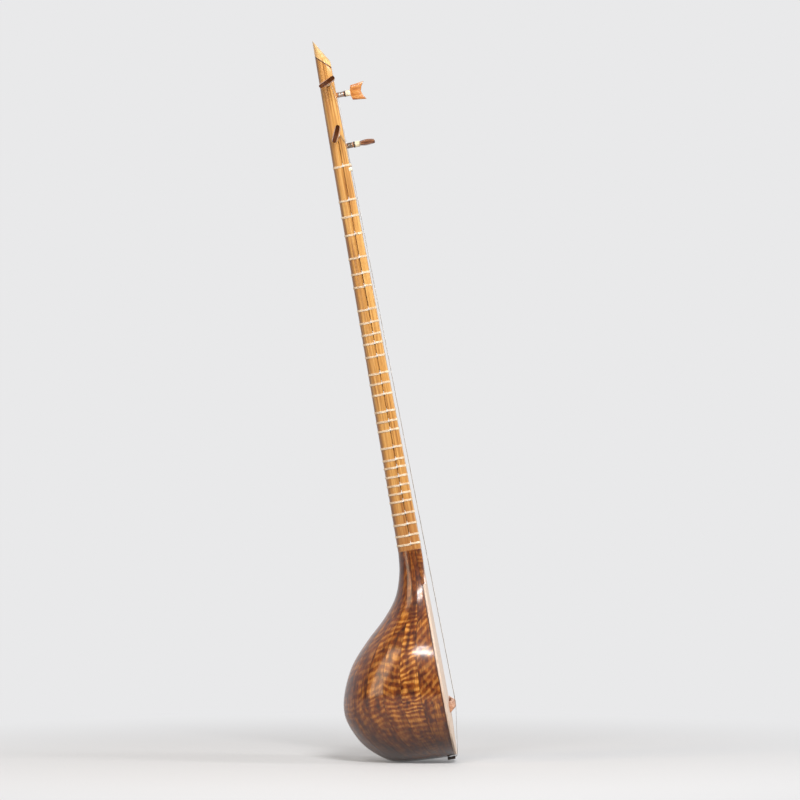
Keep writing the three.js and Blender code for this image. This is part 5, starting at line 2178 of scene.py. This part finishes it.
@dataclass
class Studio:
    """The pale floor, the lamps and the camera, in metres.

    Attributes:
        azimuth: How far the camera is turned round the object, in degrees.
        aim: The point in the middle of the picture.
        distance: From the camera to that point.
        field_of_view: What the picture shows of the width, at that point.
        sensor: The camera's sensor, in millimetres.
        clip_end: How far the camera sees.
        floor_radius: Radius of the floor.
        floor_rim_share: The share of it that the floor's outer ring takes.
        floor_sides: Corners of the floor's edge.
        floor_tones: The paper's dark and light flecks. They are drawn 2 mm wide, because real ones
            are too fine to show.
        floor_throw: Colour of the light that the paper throws up, that of a sheet which ends just
            outside the picture.
        fade: How far from the object the floor begins to fade into the backdrop, and has done so.
        floor_glow: The backdrop's share in the floor beside the object.
        backdrop: The backdrop's colour.
        room_light: Light of the room behind the camera.
        backdrop_light: Light of the backdrop on the object.
        mirror_span: Where, from the room to the backdrop, mirrored rays begin to see the backdrop.
        light_span: Where the light grows from the room's to the backdrop's.
        lamps: The lamps. The window stands beside the bowl, and the skylight's three panes make the
            glare at its rim.
    """

    azimuth: float = 1.5
    aim: tuple[float, float, float] = (-0.0019, 0.0, 0.4245)
    distance: float = 6.0
    field_of_view: float = 0.9385
    sensor: float = 36.0
    clip_end: float = 60.0
    floor_radius: float = 9.0
    floor_rim_share: float = 0.6
    floor_sides: int = 96
    floor_tones: tuple[str, str] = ("d4d4d5", "d9d8d8")
    floor_throw: str = "8c8a88"
    fade: Pair = (0.2, 0.95)
    floor_glow: float = 0.15
    backdrop: str = "e9e9ea"
    room_light: float = 0.07
    backdrop_light: float = 0.38
    mirror_span: Pair = (-0.2, 0.2)
    light_span: Pair = (-0.3, 0.9)
    lamps: list[Lamp] = field(default_factory=lambda: [
        Lamp("softbox_front", (0.78, -2.6, 2.35), (0.0, 0.0, 0.4), (0.9, 1.1), 104.0),
        Lamp("strip_right", (2.4, -0.6, 0.9), (0.0, 0.0, 0.45), (0.4, 1.5), 32.0),
        Lamp("window_left", (-2.0, -1.25, 1.0), (0.0, 0.0, 0.2), (0.75, 1.8), 19.0, "ffe4c4"),
        Lamp("skylight", (-0.74, -1.78, 1.67), (0.02, 0.0, 0.14), (0.65, 0.2), 2.6),
        Lamp("skylight_sill", (-0.72, -1.9, 1.62), (0.02, 0.0, 0.14), (0.7, 0.1), 8.5),
        Lamp("skylight_head", (-0.72, -1.72, 1.74), (0.02, 0.0, 0.14), (0.4, 0.05), 2.6),
        Lamp("softbox_top", (-0.1, 0.4, 2.9), (0.0, 0.0, 0.2), (1.8, 1.8), 9.0),
    ])

    def build(self) -> None:
        """Builds the studio and makes its camera the scene's."""
        self._floor()
        self._world()
        for lamp in self.lamps:
            lamp.build()
        self._camera()
        bpy.context.scene.view_settings.view_transform = "Standard"

    def _camera(self) -> None:
        """Adds the camera, level with the point that it faces."""
        data = bpy.data.cameras.new("camera")
        data.sensor_width = self.sensor
        data.lens = self.sensor * self.distance / self.field_of_view
        data.clip_end = self.clip_end
        camera = bpy.data.objects.new("camera", data)
        bpy.context.scene.collection.objects.link(camera)
        turn = math.radians(self.azimuth)
        back = Vector((math.sin(turn), -math.cos(turn), 0.0))
        camera.location = Vector(self.aim) + back * self.distance
        camera.rotation_euler = (-back).to_track_quat("-Z", "Y").to_euler()
        bpy.context.scene.camera = camera

    def _seen(self, tree: Tree, mirrored: Socket | float = 1.0) -> Socket:
        """Adds the share in which a ray sees the plain backdrop.

        Args:
            tree: The tree it goes in.
            mirrored: The share for rays that gloss or glass has turned.

        Returns:
            The share, which is 1 for the camera's own rays and 0 for the light on the object.
        """
        rays = add_node(tree, "LightPath").node.outputs
        gloss, glass = rays["Is Glossy Ray"], rays["Is Transmission Ray"]
        turned = add_node(tree, "Math", [gloss, glass], operation="MAXIMUM")
        part = add_node(tree, "Math", [turned, mirrored], operation="MULTIPLY")
        return add_node(tree, "Math", [rays["Is Camera Ray"], part], operation="MAXIMUM")

    def _floor(self) -> None:
        """Adds the floor, which keeps the shadow near the object and fades into the backdrop further off."""
        floor = started(
            "studio_floor", bpy.ops.mesh.primitive_circle_add, vertices=self.floor_sides,
            radius=self.floor_radius, fill_type="NGON")
        with editing(floor):
            bpy.ops.mesh.inset(thickness=self.floor_radius * self.floor_rim_share)
        # Paper, pressed and uncoated: a matt floor with hardly a shine
        paper = bpy.data.materials.new("matt_paper")
        paper.use_nodes = True
        tree = paper.node_tree
        shader = tree.nodes["Principled BSDF"]
        where = add_node(tree, "TexCoord", output="Object")
        fleck = add_node(tree, "TexNoise", {"Vector": where, "Scale": 600.0, "Detail": 2.0}, "Fac")
        tone = add_node(tree, "ValToRGB", [fleck], stops=tuple(zip((0.3, 0.7), self.floor_tones)))
        seen = self._seen(tree)
        tone = overlaid(tree, self.floor_throw, [(seen, tone)])
        plug(tree, shader, {"Base Color": tone, "Roughness": 0.7, "Specular IOR Level": 0.25})
        reach = add_node(tree, "VectorMath", [where], "Value", operation="LENGTH")
        far = add_node(tree, "MapRange", [reach, *self.fade, self.floor_glow, 1.0], **EASED)
        share = add_node(tree, "Math", [far, seen], operation="MULTIPLY")
        glow = add_node(tree, "Emission", {"Color": self.backdrop, "Strength": 1.0})
        mix = add_node(tree, "MixShader", [share, shader.outputs[0], glow])
        plug(tree, tree.nodes["Material Output"], {"Surface": mix})
        floor.data.materials.append(paper)

    def _world(self) -> None:
        """Sets the world: a dim room, and a bright backdrop whose plain colour the camera sees."""
        world = bpy.data.worlds.new("studio")
        bpy.context.scene.world = world
        world.use_nodes = True
        tree = world.node_tree
        way = add_node(tree, "SeparateXYZ", [add_node(tree, "TexCoord", output="Generated")], "Y")
        seen = self._seen(tree, add_node(tree, "MapRange", [way, *self.mirror_span], **EASED))
        room = add_node(
            tree, "MapRange", [way, *self.light_span, self.room_light, self.backdrop_light], **EASED)
        light = add_node(tree, "Background", {"Color": "ffffff", "Strength": room})
        drop = add_node(tree, "Background", {"Color": self.backdrop, "Strength": 1.0})
        mix = add_node(tree, "MixShader", [seen, light, drop])
        plug(tree, tree.nodes["World Output"], {"Surface": mix})


def main() -> None:
    """Builds the studio and the instrument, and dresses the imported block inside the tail."""
    logging.basicConfig(level=logging.INFO, format="%(name)s: %(message)s")
    placement = Placement.from_frame(PegPlace.FRONT_UPPER.height)
    top, pegs, neck, strings = Top(), Pegs(), NeckAndHead(), StringSet()
    Studio().build()
    RibbedBowl().build(placement)
    top.build(placement)
    Throat().build(placement, top)
    neck.build(placement, pegs.bores(), strings.at_nut)
    pegs.build(placement)
    GutBands().build(placement)
    strings.build(placement, top, neck)
    block = frame["nodes"]["tail_block"]
    block.data.materials.clear()
    block.data.materials.append(BLOCK_WOOD.material())
    LOG.info("tail_block keeps its packed mesh")


if __name__ == "__main__":
    main()
